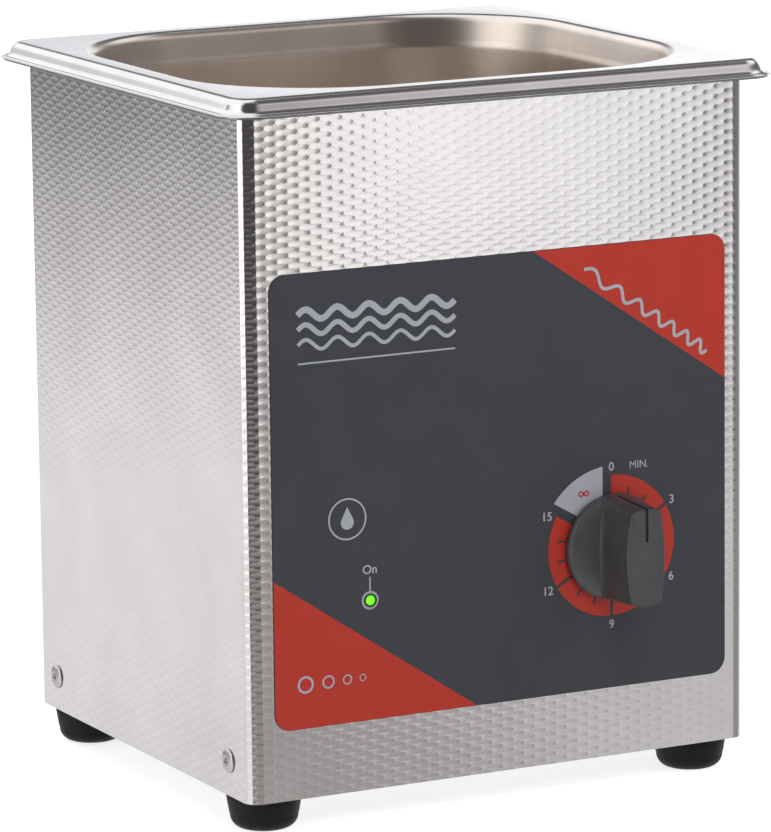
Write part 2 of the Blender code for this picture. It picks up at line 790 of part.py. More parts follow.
def make_mains_inlet(plastic, brass):
    """A three-pin socket with a fuse drawer above it, in one moulding."""
    low_face = CASING_Y + SHEET + 2 * GAP
    outline = rounded_rectangle(20.0 * MM, 19.0 * MM, 3.0 * MM, 4, (INLET_X, INLET_Z))
    flange = upright(outline, low_face, INLET_FACE)
    x0, x1 = INLET_X - INLET_HALF_X, INLET_X + INLET_HALF_X
    z0, z1 = INLET_Z - INLET_HALF_Z, INLET_Z + INLET_HALF_Z
    shell = box(x0, x1, INLET_BACK, low_face + MM, z0, z1)
    beyond = INLET_FACE + 5.0 * MM
    socket = in_mm([(-12, -8.2), (12, -8.2), (12, 4.2), (8, 8.2), (-8, 8.2), (-12, 4.2)])
    socket_floor = 60.0 * MM
    outline = [(INLET_X + x, SOCKET_Z + z) for x, z in socket]
    cutters = [upright(outline, socket_floor, beyond)]
    half_x = 11.3 * MM
    half_z = 4.3 * MM
    x0, x1 = INLET_X - half_x, INLET_X + half_x
    cutters.append(box(x0, x1, 57.5 * MM, beyond, DRAWER_Z - half_z, DRAWER_Z + half_z))
    pins = {
        "inlet_pin_line": (INLET_X + 7.0 * MM, SOCKET_Z - 2.0 * MM),
        "inlet_pin_neutral": (INLET_X - 7.0 * MM, SOCKET_Z - 2.0 * MM),
        "inlet_pin_earth": (INLET_X, SOCKET_Z + 2.0 * MM),
    }
    half_x = 1.0 * MM
    half_z = 2.0 * MM
    for name, (x, z) in pins.items():
        blade = box(x - half_x, x + half_x, 46.0 * MM, 74.0 * MM, z - half_z, z + half_z)
        add(name, blade, brass)
        outline = rectangle(x - half_x - GAP, x + half_x + GAP, z - half_z - GAP, z + half_z + GAP)
        cutters.append(upright(outline, INLET_BACK - MM, socket_floor + MM))
    add("mains_inlet", cut(join(shell, flange), *cutters), plastic)


def make_fuse_drawer(plastic, glass):
    """Slides out to the rear with its fuse lying across it."""
    half_z = 4.0 * MM
    low, high = DRAWER_Z - half_z, DRAWER_Z + half_z
    body = box(-11.0 * MM, 11.0 * MM, 58.0 * MM, INLET_FACE + MM, low, high)
    lip = 0.5 * MM
    handle_x = 12.5 * MM
    handle = box(
        -handle_x, handle_x, INLET_FACE + GAP, INLET_FACE + 1.6 * MM, low - lip, high + lip
    )
    fuse_y = 64.0 * MM
    half = 2.9 * MM  # half width of the fuse's pocket, and its depth below the fuse's axis
    pocket_x = 10.4 * MM
    pocket = box(
        -pocket_x, pocket_x, fuse_y - half, fuse_y + half, DRAWER_Z - half, high + 5.0 * MM
    )
    add("fuse_drawer", cut(join(body, handle), pocket), plastic, (INLET_X, 0, 0))
    fuse = prism(circle(2.5 * MM, 12), -10.0 * MM, 10.0 * MM)
    add("fuse", fuse, glass, (INLET_X, fuse_y, DRAWER_Z), FACE_RIGHT)


# ---------------------------------------------------------------- transducer


def make_transducer(aluminium, steel, ceramic, copper):
    """A bolted sandwich: each piece is listed from the tank's floor downwards."""
    top = RIM_TOP - TANK_DEPTH - TANK_SHEET - GAP
    steps = 20
    bolt_r = 4.0 * MM
    bore_r = bolt_r + GAP
    low = top - FRONT_MASS
    front = [(0, top), (FRONT_MASS_R, top), (FRONT_MASS_R, top - 5 * MM), (STACK_R, low)]
    front += [(bore_r, low), (bore_r, low + 12 * MM), (0, low + 12 * MM)]
    add("transducer_front_mass", lathe(front, steps), aluminium)
    bolt_top = low + 10 * MM
    z = low - GAP
    for i in (1, 2):
        ring = [(PIEZO_BORE, z), (STACK_R, z), (STACK_R, z - PIEZO), (PIEZO_BORE, z - PIEZO)]
        add(f"piezo_ring_{i}", lathe(ring, steps), ceramic)
        z -= PIEZO + GAP
        outline = arc((0, 0), STACK_R, 9, 351, 22)
        edge = outline[0][1]
        tab_end = STACK_R + 8.0 * MM
        outline = [(tab_end, -edge), (tab_end, edge)] + outline
        if i == 2:
            outline = [(-x, -y) for x, y in outline]
        plate = prism(outline, z - ELECTRODE, z, [circle(PIEZO_BORE, 16)])
        add(f"electrode_{i}", plate, copper)
        z -= ELECTRODE + GAP
    mass = [(bore_r, z), (STACK_R, z), (STACK_R, z - BACK_MASS), (bore_r, z - BACK_MASS)]
    add("transducer_back_mass", lathe(mass, steps), steel)
    seat = z - BACK_MASS - GAP
    head = prism(circle(7.5 * MM, 6), seat - 5.3 * MM, seat)
    shank = prism(circle(bolt_r, 14), seat - MM, bolt_top)
    add("transducer_bolt", join(head, shank), steel)


# ---------------------------------------------------------------- generator and cables


def make_generator(board, nylon, ferrite, aluminium):
    inset = STANDOFF_INSET
    places = [
        (BOARD_X0 + inset, BOARD_Y0 + inset),
        (BOARD_X1 - inset, BOARD_Y0 + inset),
        (BOARD_X0 + inset, BOARD_Y1 - inset),
        (BOARD_X1 - inset, BOARD_Y1 - inset),
    ]
    holes = [circle(SCREW_HOLE, 10, at) for at in places]
    outline = rectangle(BOARD_X0, BOARD_X1, BOARD_Y0, BOARD_Y1)
    add("generator_board", prism(outline, BOARD_LOW, BOARD_TOP, holes), board)
    low = BASE_THICK + GAP
    high = BOARD_LOW - GAP
    post = lathe(
        [
            (0, low),
            (3.0 * MM, low),
            (3.0 * MM, high),
            (1.5 * MM, high),
            (1.5 * MM, BOARD_TOP + 2.0 * MM),
            (0, BOARD_TOP + 2.4 * MM),
        ],
        10,
    )
    first = add("board_standoff_1", post, nylon, (*places[0], 0))
    for i, at in enumerate(places[1:]):
        add_copy(f"board_standoff_{i + 2}", first, (*at, 0))

    seat = BOARD_TOP + GAP
    core = box(*CORE, seat, seat + CORE_HEIGHT)
    winding = box(*WINDING, seat + WINDING_LOW, seat + CORE_HEIGHT - WINDING_LOW)
    add("output_transformer", join(core, winding), ferrite)
    left, right, front, back = SINK
    foot, top = seat + SINK_FOOT, seat + CORE_HEIGHT
    comb = [(left, seat), (right, seat), (right, top)]
    pitch = (right - left) / (SINK_FINS - 0.5)
    for i in range(SINK_FINS - 1):
        x = right - pitch * (i + 0.5)
        comb += [(x, top), (x, foot), (x - 0.5 * pitch, foot), (x - 0.5 * pitch, top)]
    comb.append((left, top))
    add("heatsink", upright(comb, front, back), aluminium)


def make_cables(finishes):
    routes = {
        "line_cable": [
            (-31, PIN_END, 35.5),
            (-31, 38, 37),
            (0, 42, 41),
            (44, 44, 40),
            (62, 20, 34),
            (62, -30, 32),
            (44, -58, 31),
            (36.8, -60.9, 36.4),
        ],
        "neutral_cable": [
            (-45, PIN_END, 35.5),
            (-45, 40, 35),
            (-51, 36, 26),
            (-51, 30, 12.5),
        ],
        "earth_cable": [
            (-38, PIN_END, 39.5),
            (-38, 38, 42),
            (-66, 40, 34),
            (-72, 28, 16),
            (-72, 24, 4),
        ],
        "transducer_cable": [
            (36, 20, 12.5),
            (38, 18, 34),
            (38, 8, 56),
            (28, 0, 66),
            (25, 0, 73.4),
        ],
        "led_cable": [
            (-43.7, -66.2, 56.7),
            (-43.7, -58, 56.7),
            (-45, -44, 40),
            (-46, -33, 24),
            (-46, -31, 12.5),
        ],
    }
    for name, route in routes.items():
        add_tube(name, [(x * MM, y * MM, z * MM) for x, y, z in route], CABLE_R, finishes[name])


def make_cleaner():
    patterned = material("patterned_steel", (0.60, 0.58, 0.57), 0.28, 1.0)
    tank_steel = material("tank_steel", (0.62, 0.59, 0.56), 0.22, 1.0)
    steel = material("steel", (0.50, 0.50, 0.50), 0.35, 1.0)
    aluminium = material("aluminium", (0.72, 0.72, 0.73), 0.35, 1.0)
    brass = material("brass", (0.72, 0.52, 0.24), 0.30, 1.0)
    rubber = material("rubber", (0.010, 0.010, 0.012), 0.65)
    film = material("panel_film", (0.056, 0.061, 0.070), 0.45)
    knob_plastic = material("knob_plastic", (0.060, 0.060, 0.062), 0.50)
    black_plastic = material("black_plastic", (0.020, 0.020, 0.022), 0.45)
    lens = material("green_lens", (0.10, 0.75, 0.05), 0.15)
    ceramic = material("ceramic", (0.50, 0.44, 0.34), 0.60)
    board = material("board", (0.03, 0.14, 0.05), 0.40)
    ferrite = material("ferrite", (0.050, 0.048, 0.046), 0.60)
    copper = material("copper", (0.80, 0.38, 0.22), 0.30, 1.0)
    nylon = material("nylon", (0.75, 0.74, 0.68), 0.45)
    glass = material("glass", (0.85, 0.88, 0.88), 0.08)
    cables = {
        "line_cable": material("wire_brown", (0.16, 0.06, 0.025), 0.45),
        "neutral_cable": material("wire_blue", (0.03, 0.10, 0.42), 0.45),
        "earth_cable": material("wire_green", (0.18, 0.45, 0.06), 0.45),
        "transducer_cable": material("wire_red", (0.50, 0.03, 0.02), 0.45),
        "led_cable": material("wire_black", (0.015, 0.015, 0.016), 0.45),
    }

    make_tank(tank_steel)
    make_rim_gasket(rubber)
    make_casing(patterned)
    make_base_plate(steel)
    make_side_rivets(steel)
    make_rear_panel(steel, steel)
    make_feet(rubber, steel)
    make_control_panel(film, lens)
    make_knob(knob_plastic)
    make_timer_frame(steel, steel)
    make_timer_drive(steel, brass)
    make_mainspring(steel)
    make_timer_switch(black_plastic)
    make_mains_inlet(black_plastic, brass)
    make_fuse_drawer(black_plastic, glass)
    make_transducer(aluminium, steel, ceramic, copper)
    make_generator(board, nylon, ferrite, aluminium)
    make_cables(cables)


for old in list(bpy.data.objects):
    bpy.data.objects.remove(old)
make_cleaner()
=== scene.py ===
"""Studio scene of a bench-top ultrasonic cleaner: embossed steel casing, drawn tank, printed
front film with a clockwork timer knob. +X right, -Y front, +Z up; lengths are metres."""

import json
import math

import bmesh
import bpy
import numpy as np
from mathutils import Euler, Matrix, Vector


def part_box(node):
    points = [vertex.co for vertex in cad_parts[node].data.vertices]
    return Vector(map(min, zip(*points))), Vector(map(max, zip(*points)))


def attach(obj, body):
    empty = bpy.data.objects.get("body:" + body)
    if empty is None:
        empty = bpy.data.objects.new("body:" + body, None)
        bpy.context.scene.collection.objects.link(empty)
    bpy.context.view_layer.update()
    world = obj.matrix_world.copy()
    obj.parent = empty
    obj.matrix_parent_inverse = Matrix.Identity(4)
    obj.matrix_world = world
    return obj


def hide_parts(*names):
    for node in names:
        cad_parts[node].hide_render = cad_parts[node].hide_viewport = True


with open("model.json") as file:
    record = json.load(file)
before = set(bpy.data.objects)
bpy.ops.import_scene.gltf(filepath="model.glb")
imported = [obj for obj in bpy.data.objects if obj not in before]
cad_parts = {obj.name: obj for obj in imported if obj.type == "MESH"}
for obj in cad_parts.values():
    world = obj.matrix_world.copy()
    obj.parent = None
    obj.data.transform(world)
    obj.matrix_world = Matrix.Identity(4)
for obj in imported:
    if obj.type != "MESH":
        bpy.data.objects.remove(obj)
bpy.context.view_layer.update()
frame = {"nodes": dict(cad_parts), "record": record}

MM = 0.001
FACE_FRONT = (math.radians(90), 0.0, 0.0)  # local Z points to the front, local Y points up
FACE_RIGHT = (0.0, math.radians(90), 0.0)
FACE_LEFT = (0.0, math.radians(-90), 0.0)
ROOT = "cleaner"
KNOB_BODY = "timer_control"

WELD = 0.001 * MM  # points closer than this are one

# Casing
CASING_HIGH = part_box("casing")[1]
CASING_X = CASING_HIGH.x
CASING_Y = CASING_HIGH.y
CASING_TOP = CASING_HIGH.z
BEND = 4.5 * MM
FRONT_HALF = CASING_X - BEND
SIDE_HALF = CASING_Y - BEND
QUARTER = BEND * math.pi / 2
BUCKLING = 0.004 * MM  # waviness of the sheet
SHELL_INSET = 0.3 * MM  # the plain sheet lies this far under the rolled surface
SHELL_TOLERANCE = 0.02 * MM
PITCH_S = 7.2 * MM  # dents of the rolled pattern, along the sheet
PITCH_Z = 3.08 * MM
END_RISE = 0.0195 * MM  # a dent's ends above its middle
END_POWER = 3.5  # a high power keeps the dent's bottom level until near its ends
EDGE_RISE = 0.009 * MM  # its long edges above its middle
RIDGE_SOFTNESS = 0.002 * MM
MESH_COLUMNS, MESH_ROWS = 16, 8  # faces across one pitch, along the sheet and upwards
SLOPE_STEP = 0.02 * MM
# The rolled surface's pieces end at these pitches along the sheet, from the front's middle,
FRONT_END = 10.25  # just behind the film's upright edges
BEND_END = 12.25
SIDE_END = 31
# and at these pitches of height.
FILM_LOW_ROW, FILM_TOP_ROW = 8, 49  # just behind the film's lower and upper edges
MIDDLE_ROW = 33

# Tank
TANK_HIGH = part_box("tank")[1]
RIM_TOP = TANK_HIGH.z - 0.9 * MM
TANK_SHEET = 0.9 * MM
TANK_DEPTH = 100.0 * MM
OPENING_X = 80.0 * MM
OPENING_Y = 73.5 * MM
OPENING_CORNER = 46.0 * MM
ROLL = 3.2 * MM  # rounding of the rim into the opening
ROLL_END = 77  # degrees
SHOULDER_DEPTH = 8.0 * MM
STACKING_STEP = ((0.1, 0.35), (0.3, 0.9), (0.5, 1.5), (0.6, 2.2))  # inset and drop, millimetres
LIP_X = TANK_HIGH.x + 2.6 * MM
LIP_Y = TANK_HIGH.y + 3.4 * MM
LIP_TOP = RIM_TOP - 4.5 * MM
LIP_CORNER = 11.0 * MM
LIP_FLAT = 0.5 * MM
SKIRT_SLOPE = 66  # degrees from level
SKIRT_FILLET = 2.6 * MM
EDGE_ROLL = 3.2 * MM
WALL_TAPER = 3  # degrees
FLOOR_FILLET = 18.0 * MM
SMALLEST_CORNER = 0.5 * MM
SKIRT_STEPS, ROLL_STEPS, FLOOR_STEPS, CORNER_STEPS = 12, 8, 12, 20

# Front film
FILM_LOW, FILM_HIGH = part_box("control_panel")
FILM_FACE = CASING_Y + 0.3 * MM
FILM_SINK = 0.1 * MM  # its back lies this far inside the sheet's face
FILM_CORNER = 5.0 * MM
FILM_EDGE = 0.12 * MM  # step along its edge
DIAGONAL = 33.9  # slope of the red corners' edges, degrees
UPPER_RED_FROM = 10.8 * MM  # where the upper red corner starts along the top edge
LOWER_RED_FROM = 65.6 * MM  # and the lower one along the left edge
INK = 0.04 * MM  # thickness of one printed layer
TEXT_HEIGHT = 2.7 * MM
LED = ((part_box("status_led")[0].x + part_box("status_led")[1].x) / 2, 56.7 * MM)
LED_HOLE = 2.0 * MM

# Dial
DIAL = ((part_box("timer_knob")[0].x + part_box("timer_knob")[1].x) / 2, 64.2 * MM)
SHAFT_HOLE = 5.4 * MM
DIAL_INNER, DIAL_OUTER = 15.4 * MM, 21.3 * MM
DIAL_PARTS, DIAL_STEP = 5, 60  # parts of three minutes, and degrees of each
DIAL_GAP = 1.0 * MM  # between two parts
TICK_HALF = 1.1  # degrees
TICK_REACH = 0.86 * DIAL_OUTER
PALE_REACH = 24.2 * MM  # the sector for continuous running
PALE_CLEAR = 2.9 * MM
DIAL_NUMBERS = (  # text and place on the film, millimetres
    ("0", 36.9, 88.0),
    ("3", 57.4, 76.1),
    ("6", 57.2, 52.8),
    ("9", 36.8, 40.3),
    ("12", 15.6, 52.7),
    ("15", 15.3, 75.1),
)
ENDLESS_REACH, ENDLESS_TALL = 1.6 * MM, 1.2
ENDLESS_STEPS = 48

# Knob, in millimetres from the dial's centre and from the casing's face
GRIP_TOP = 21.5
GRIP_ROUND = 1.0  # rounding of its top edge
GRIP_LEVELS = (2.5, 4.6, 5.2, 5.6, 6.0, 6.5, 7.2, 8.2, 12.0, 16.0, 19.5, 20.5)
GRIP_REACH, GRIP_REACH_TOP = 16.0, 14.8
GRIP_MIDDLE, GRIP_END = 6.4, 4.8  # half widths
GRIP_CURVE = 14.3  # reach at which the bulging flank is back to the end's width
GRIP_CORNER = 1.2
GRIP_BOW = 0.6  # share of the full round that its ends take
GRIP_STEPS, BOW_STEPS = 14, 8
FLARE, FLARE_FROM, FLARE_HEIGHT, FLARE_POWER = 1.6, 4.6, 3.2, 2.2  # its widening foot
# The pointer groove's half width, and that of the strip in it that paints its shade.
GROOVE_HALF, GROOVE_SHADE_HALF = 0.5, 0.46

# Fasteners and feet
FOOT_HEIGHT = 10.4  # millimetres
FEET = ("foot_front_left", "foot_front_right", "foot_rear_left", "foot_rear_right")
RIVET_GAP = 0.12 * MM  # a rivet's flange stands this far off the sheet
EDGE_BEVEL = 0.12 * MM  # broken edges of the CAD pieces
EDGE_ANGLE = 40  # degrees


# ---------------------------------------------------------------- materials


class Nodes:
    """A node tree whose nodes are added and wired through short calls."""

    def __init__(self, tree):
        self.tree = tree

    def add(self, kind, inputs=None, **settings):
        node = self.tree.nodes.new("ShaderNode" + kind)
        for key, value in settings.items():
            setattr(node, key, value)
        for key, value in (inputs or {}).items():
            self.set(node.inputs[key], value)
        return node

    def set(self, socket, value):
        if isinstance(value, bpy.types.NodeSocket):
            self.tree.links.new(value, socket)
        else:
            socket.default_value = value

    def math(self, operation, first, second=0.0):
        return self.add("Math", {0: first, 1: second}, operation=operation).outputs[0]

    def vector(self, operation, first, second=(0.0, 0.0, 0.0), output="Vector"):
        return self.add("VectorMath", {0: first, 1: second}, operation=operation).outputs[output]

    def mix(self, share, first, second):
        """A blend of two colours, on the Mix node's colour sockets."""
        return self.add("Mix", {0: share, 6: first, 7: second}, data_type="RGBA").outputs[2]


class Shader(Nodes):
    """A new material with a Principled surface."""

    def __init__(self, name):
        self.material = bpy.data.materials.new(name)
        self.material.use_nodes = True
        super().__init__(self.material.node_tree)
        self.surface = self.tree.nodes["Principled BSDF"]

    def where(self, stretch=(1.0, 1.0, 1.0)):
        """Object coordinates in millimetres, scaled per axis."""
        place = self.add("TexCoord").outputs["Object"]
        scale = [factor / MM for factor in stretch]
        return self.add("Mapping", {"Vector": place, "Scale": scale}).outputs["Vector"]

    def noise(self, scale, detail=3.0, stretch=(1.0, 1.0, 1.0), roughness=0.55):
        inputs = {"Vector": self.where(stretch), "Scale": scale, "Detail": detail}
        inputs["Roughness"] = roughness
        return self.add("TexNoise", inputs).outputs["Fac"]

    def ramp(self, value, low, high, start=0.3, end=0.7):
        inputs = {"Value": value, "From Min": start, "From Max": end}
        inputs.update({"To Min": low, "To Max": high})
        return self.add("MapRange", inputs).outputs["Result"]

    def tone(self, clouds, colour, dark, light):
        """The colour, drifting between two factors with a cloudy texture."""
        return self.mix(self.ramp(clouds, 0.0, 1.0), rgba(colour, dark), rgba(colour, light))

    def bump(self, height, strength, distance):
        inputs = {"Height": height, "Strength": strength, "Distance": distance}
        return self.add("Bump", inputs).outputs["Normal"]

    def finish(self, **inputs):
        for key, value in inputs.items():
            self.set(self.surface.inputs[key.replace("_", " ")], value)
        return self.material


def rgba(colour, factor=1.0):
    return (*(min(1.0, channel * factor) for channel in colour), 1.0)


def steel(name, colour, roughness, grain, stretch=(1.0, 1.0, 1.0), bump=0.06, streak=0.06):
    """Metal with a directional grain, cloudy handling marks and a slight uneven tone."""
    s = Shader(name)
    fine = s.noise(grain, 4.0, stretch)
    clouds = s.noise(0.035, 4.0)
    uneven = s.math("ADD", s.ramp(fine, -streak, streak), s.ramp(clouds, 0.0, 0.2 * roughness))
    return s.finish(Base_Color=s.tone(clouds, colour, 0.94, 1.04), Metallic=1.0,
                    Roughness=s.math("ADD", uneven, roughness), Normal=s.bump(fine, bump, 0.05 * MM))


def pan_steel(name, rim, basin):
    """Deep-drawn steel: bright on the rim; satin and faintly stained in the basin, tinted warmer
    there as painted reflection.
    """
    s = Shader(name)
    corner = OPENING_CORNER / MM
    core = (OPENING_X / MM - corner, OPENING_Y / MM - corner, 0.0)
    beyond = s.vector("SUBTRACT", s.vector("ABSOLUTE", s.where((1.0, 1.0, 0.0))), core)
    beyond = s.vector("MAXIMUM", beyond)
    away = s.vector("LENGTH", beyond, output="Value")
    inside = s.ramp(away, 1.0, 0.0, corner - 3.0, corner - 0.6)
    fine = s.noise(4.0, 4.0, (0.25, 0.25, 1.0))
    clouds = s.noise(0.06, 4.0, (1.0, 1.0, 0.5))
    # The basin's warmer colour is painted reflection of warm light inside the tank.
    tone = s.mix(inside, s.tone(clouds, rim, 0.95, 1.04), s.tone(clouds, basin, 0.9, 1.06))
    rough = s.math("ADD", s.ramp(inside, 0.17, 0.34, 0.0, 1.0), s.ramp(fine, -0.02, 0.02))
    return s.finish(Base_Color=tone, Metallic=1.0, Roughness=rough,
                    Normal=s.bump(fine, 0.01, 0.05 * MM))


def plastic(name, colour, roughness, grain=3.0, bump=0.15, shine=0.5, wear=0.12):
    """Moulded plastic or rubber: spark-eroded grain, faint tone drift, worn patches."""
    s = Shader(name)
    fine = s.noise(grain, 3.0)
    tone = s.tone(s.noise(0.09, 3.0), colour, 1.0 - wear, 1.0 + wear)
    rough = s.ramp(s.noise(0.25, 4.0), roughness * 0.88, roughness * 1.12)
    return s.finish(Base_Color=tone, Roughness=rough, Normal=s.bump(fine, bump, 0.04 * MM),
                    Specular_IOR_Level=shine)


def lamp_lens(name, colour, hot, glow):
    """Tinted lens lit from inside: brightest in the middle, dark at the rim."""
    s = Shader(name)
    facing = s.add("LayerWeight", {"Blend": 0.35}).outputs["Facing"]
    speck = s.noise(2.0, 2.0)
    light = s.mix(s.ramp(facing, 0.0, 1.0, 0.0, 0.6), rgba(hot), rgba(colour))
    fade = s.ramp(facing, glow, 0.04 * glow, 0.05, 0.6)
    strength = s.math("MULTIPLY", fade, s.ramp(speck, 0.9, 1.1))
    return s.finish(Base_Color=rgba(colour), Roughness=0.12, Emission_Color=light,
                    Emission_Strength=strength, Normal=s.bump(speck, 0.05, 0.05 * MM))


def board(name):
    """Green solder mask over a faint grid of copper tracks."""
    s = Shader(name)
    tracks = s.add("TexBrick", {"Vector": s.where(), "Scale": 0.16, "Mortar Size": 0.03})
    tracks = tracks.outputs["Fac"]
    dark = s.mix(s.noise(0.2, 3.0), rgba((0.008, 0.07, 0.028)), rgba((0.012, 0.11, 0.04)))
    tone = s.mix(tracks, dark, rgba((0.03, 0.2, 0.07)))
    return s.finish(Base_Color=tone, Roughness=0.35, Normal=s.bump(tracks, 0.4, 0.05 * MM))


def glass(name):
    s = Shader(name)
    rough = s.ramp(s.noise(0.6, 3.0), 0.02, 0.1)
    return s.finish(Base_Color=rgba((0.93, 0.96, 0.95)), Roughness=rough,
                    Transmission_Weight=0.9, IOR=1.5, Normal=s.bump(s.noise(0.4), 0.05, 0.1 * MM))


# Steel looks: colour, roughness, grain, then its stretch, bump and streak. A stretch below 1
# draws the grain out along that axis.
STEELS = {
    "casing_steel": ((0.74, 0.72, 0.715), 0.05, 5.0, (0.06, 0.06, 1.0), 0.008, 0.01),
    "plain_steel": ((0.55, 0.55, 0.55), 0.33, 3.0, (1.0, 0.15, 0.15)),
    # Its near-black tone also paints the shade on the rivets' stems, inside their holes.
    "dark_steel": ((0.1, 0.09, 0.085), 0.5, 2.0),
    "zinc_steel": ((0.66, 0.65, 0.64), 0.36, 2.0),
    "aluminium": ((0.76, 0.76, 0.77), 0.36, 3.0, (0.1, 1.0, 1.0)),
    "brass": ((0.74, 0.54, 0.25), 0.3, 2.5),
    "copper": ((0.72, 0.35, 0.2), 0.3, 2.5, (1.0, 1.0, 0.2)),
}
# Plastic looks: colour, roughness, then grain, bump, shine and wear.
PLASTICS = {
    "black_rubber": ((0.006, 0.0055, 0.007), 0.5, 1.6, 0.3, 0.2),
    "panel_film": ((0.034, 0.037, 0.044), 0.42, 6.0, 0.06, 0.25, 0.04),
    "film_red": ((0.315, 0.023, 0.013), 0.42, 6.0, 0.06, 0.25, 0.03),
    "print_grey": ((0.26, 0.27, 0.305), 0.45, 6.0, 0.05, 0.25, 0.03),
    "print_white": ((0.27, 0.27, 0.305), 0.45, 6.0, 0.05, 0.25, 0.03),
    "knob_plastic": ((0.045, 0.045, 0.048), 0.38, 4.0, 0.08),
    "black_plastic": ((0.02, 0.02, 0.022), 0.4, 2.5, 0.2),
    "piezo_ceramic": ((0.32, 0.27, 0.2), 0.6, 1.2, 0.3),
    "ferrite": ((0.03, 0.03, 0.033), 0.6, 0.9, 0.4),
    "nylon": ((0.62, 0.61, 0.56), 0.45, 2.0, 0.15),
    "wire_brown": ((0.12, 0.045, 0.02), 0.4),
    "wire_blue": ((0.02, 0.07, 0.3), 0.4),
    "wire_green": ((0.12, 0.35, 0.04), 0.4),
    "wire_red": ((0.45, 0.02, 0.015), 0.4),
    "wire_black": ((0.015, 0.015, 0.016), 0.4),
}
MATERIALS = {name: steel(name, *look) for name, look in STEELS.items()}
MATERIALS.update({name: plastic(name, *look) for name, look in PLASTICS.items()})
# The warmer basin colour is painted reflection of warm light inside the tank.
MATERIALS["tank_steel"] = pan_steel("tank_steel", (0.67, 0.665, 0.68), (0.76, 0.675, 0.61))
MATERIALS["green_lens"] = lamp_lens("green_lens", (0.02, 0.3, 0.005), (0.2, 1.0, 0.02), 1.5)
MATERIALS["circuit_board"] = board("circuit_board")
MATERIALS["fuse_glass"] = glass("fuse_glass")
SLOT_OF = {part["node"]: part["material_slot"] for part in frame["record"]["subparts"]}


# ---------------------------------------------------------------- shapes


def polar(radius, degrees):
    angle = math.radians(degrees)
    return radius * math.cos(angle), radius * math.sin(angle)


def arc(centre, radius, start, end, steps):
    points = []
    for i in range(steps + 1):
        x, y = polar(radius, start + (end - start) * i / steps)
        points.append((centre[0] + x, centre[1] + y))
    return points


def circle(radius, steps, centre=(0.0, 0.0)):
    return arc(centre, radius, 0, 360, steps)[:-1]


def rounded_rectangle(half_x, half_y, radius, steps, centre=(0.0, 0.0)):
    points = []
    for sign_x, sign_y, start in ((1, 1, 0), (-1, 1, 90), (-1, -1, 180), (1, -1, 270)):
        x = centre[0] + sign_x * (half_x - radius)
        y = centre[1] + sign_y * (half_y - radius)
        points += arc((x, y), radius, start, start + 90, steps)
    return points


def clipped(outline, normal, offset):
    """The part of a convex outline where normal . point <= offset."""
    kept = []
    for i, here in enumerate(outline):
        there = outline[(i + 1) % len(outline)]
        a = normal[0] * here[0] + normal[1] * here[1] - offset
        b = normal[0] * there[0] + normal[1] * there[1] - offset
        if a <= 0:
            kept.append(here)
        if a * b < 0:
            share = a / (a - b)
            kept.append(tuple(here[k] + share * (there[k] - here[k]) for k in (0, 1)))
    return kept


def outward(bm):
    bmesh.ops.recalc_face_normals(bm, faces=bm.faces)
    return bm


def prism(outline, low, high, holes=()):
    bm = bmesh.new()
    for loop in (outline, *holes):
        verts = [bm.verts.new((x, y, low)) for x, y in loop]
        for i in range(len(verts)):
            bm.edges.new((verts[i - 1], verts[i]))
    if holes:
        bmesh.ops.triangle_fill(bm, use_beauty=True, edges=bm.edges)
    else:
        bm.faces.new(bm.verts)
    made = bmesh.ops.extrude_face_region(bm, geom=bm.faces[:])
    moved = [part for part in made["geom"] if isinstance(part, bmesh.types.BMVert)]
    bmesh.ops.translate(bm, verts=moved, vec=(0, 0, high - low))
    return outward(bm)


def loft(loops):
    """Loops of equally many 3D points joined one to the next, with flat caps."""
    bm = bmesh.new()
    rings = [[bm.verts.new(point) for point in loop] for loop in loops]
    for lower, upper in zip(rings, rings[1:]):
        for i in range(len(lower)):
            bm.faces.new((lower[i - 1], lower[i], upper[i], upper[i - 1]))
    bm.faces.new(rings[0][::-1])
    bm.faces.new(rings[-1])
    return outward(bm)


def lathe(profile, steps):
    """Turned about Z from (radius, z) points; a profile that leaves the axis is closed round."""
    bm = bmesh.new()
    rings = []
    for radius, z in profile:
        if radius == 0:
            rings.append([bm.verts.new((0, 0, z))])
        else:
            rings.append([bm.verts.new((x, y, z)) for x, y in circle(radius, steps)])
    pairs = list(zip(rings, rings[1:]))
    if len(rings[0]) > 1:
        pairs.append((rings[-1], rings[0]))
    for one, two in pairs:
        for i in range(steps):
            if len(one) == len(two) == 1:
                break
            if len(one) == 1:
                bm.faces.new((one[0], two[i], two[i - 1]))
            elif len(two) == 1:
                bm.faces.new((one[i - 1], one[i], two[0]))
            else:
                bm.faces.new((one[i - 1], one[i], two[i], two[i - 1]))
    return outward(bm)


def in_mm(points):
    return [(x * MM, y * MM) for x, y in points]


def merged(*parts):
    """Several bmeshes as one; nothing is welded."""
    whole = bmesh.new()
    for part in parts:
        mesh = bpy.data.meshes.new("part")
        part.to_mesh(mesh)
        part.free()
        whole.from_mesh(mesh)
        bpy.data.meshes.remove(mesh)
    return whole


def cut(bm, *tools):
    """The bmesh with each tool cut from it by an exact Boolean."""
    helpers = []
    for part in (bm, *tools):
        mesh = bpy.data.meshes.new("helper")
        part.to_mesh(mesh)
        part.free()
        helper = bpy.data.objects.new("helper", mesh)
        bpy.context.collection.objects.link(helper)
        helpers.append(helper)
    target = helpers[0]
    for helper in helpers[1:]:
        modifier = target.modifiers.new("cut", "BOOLEAN")
        modifier.operation, modifier.solver, modifier.object = "DIFFERENCE", "EXACT", helper
    result = bmesh.new()
    result.from_object(target, bpy.context.evaluated_depsgraph_get())
    for helper in helpers:
        bpy.data.objects.remove(helper)
    return result


def link(name, mesh, finish, body=ROOT, slot=None, replaces=()):
    mesh.materials.append(MATERIALS[finish])
    piece = bpy.data.objects.new(name, mesh)
    bpy.context.collection.objects.link(piece)
    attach(piece, body)
    if replaces:
        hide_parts(*replaces)
    return piece


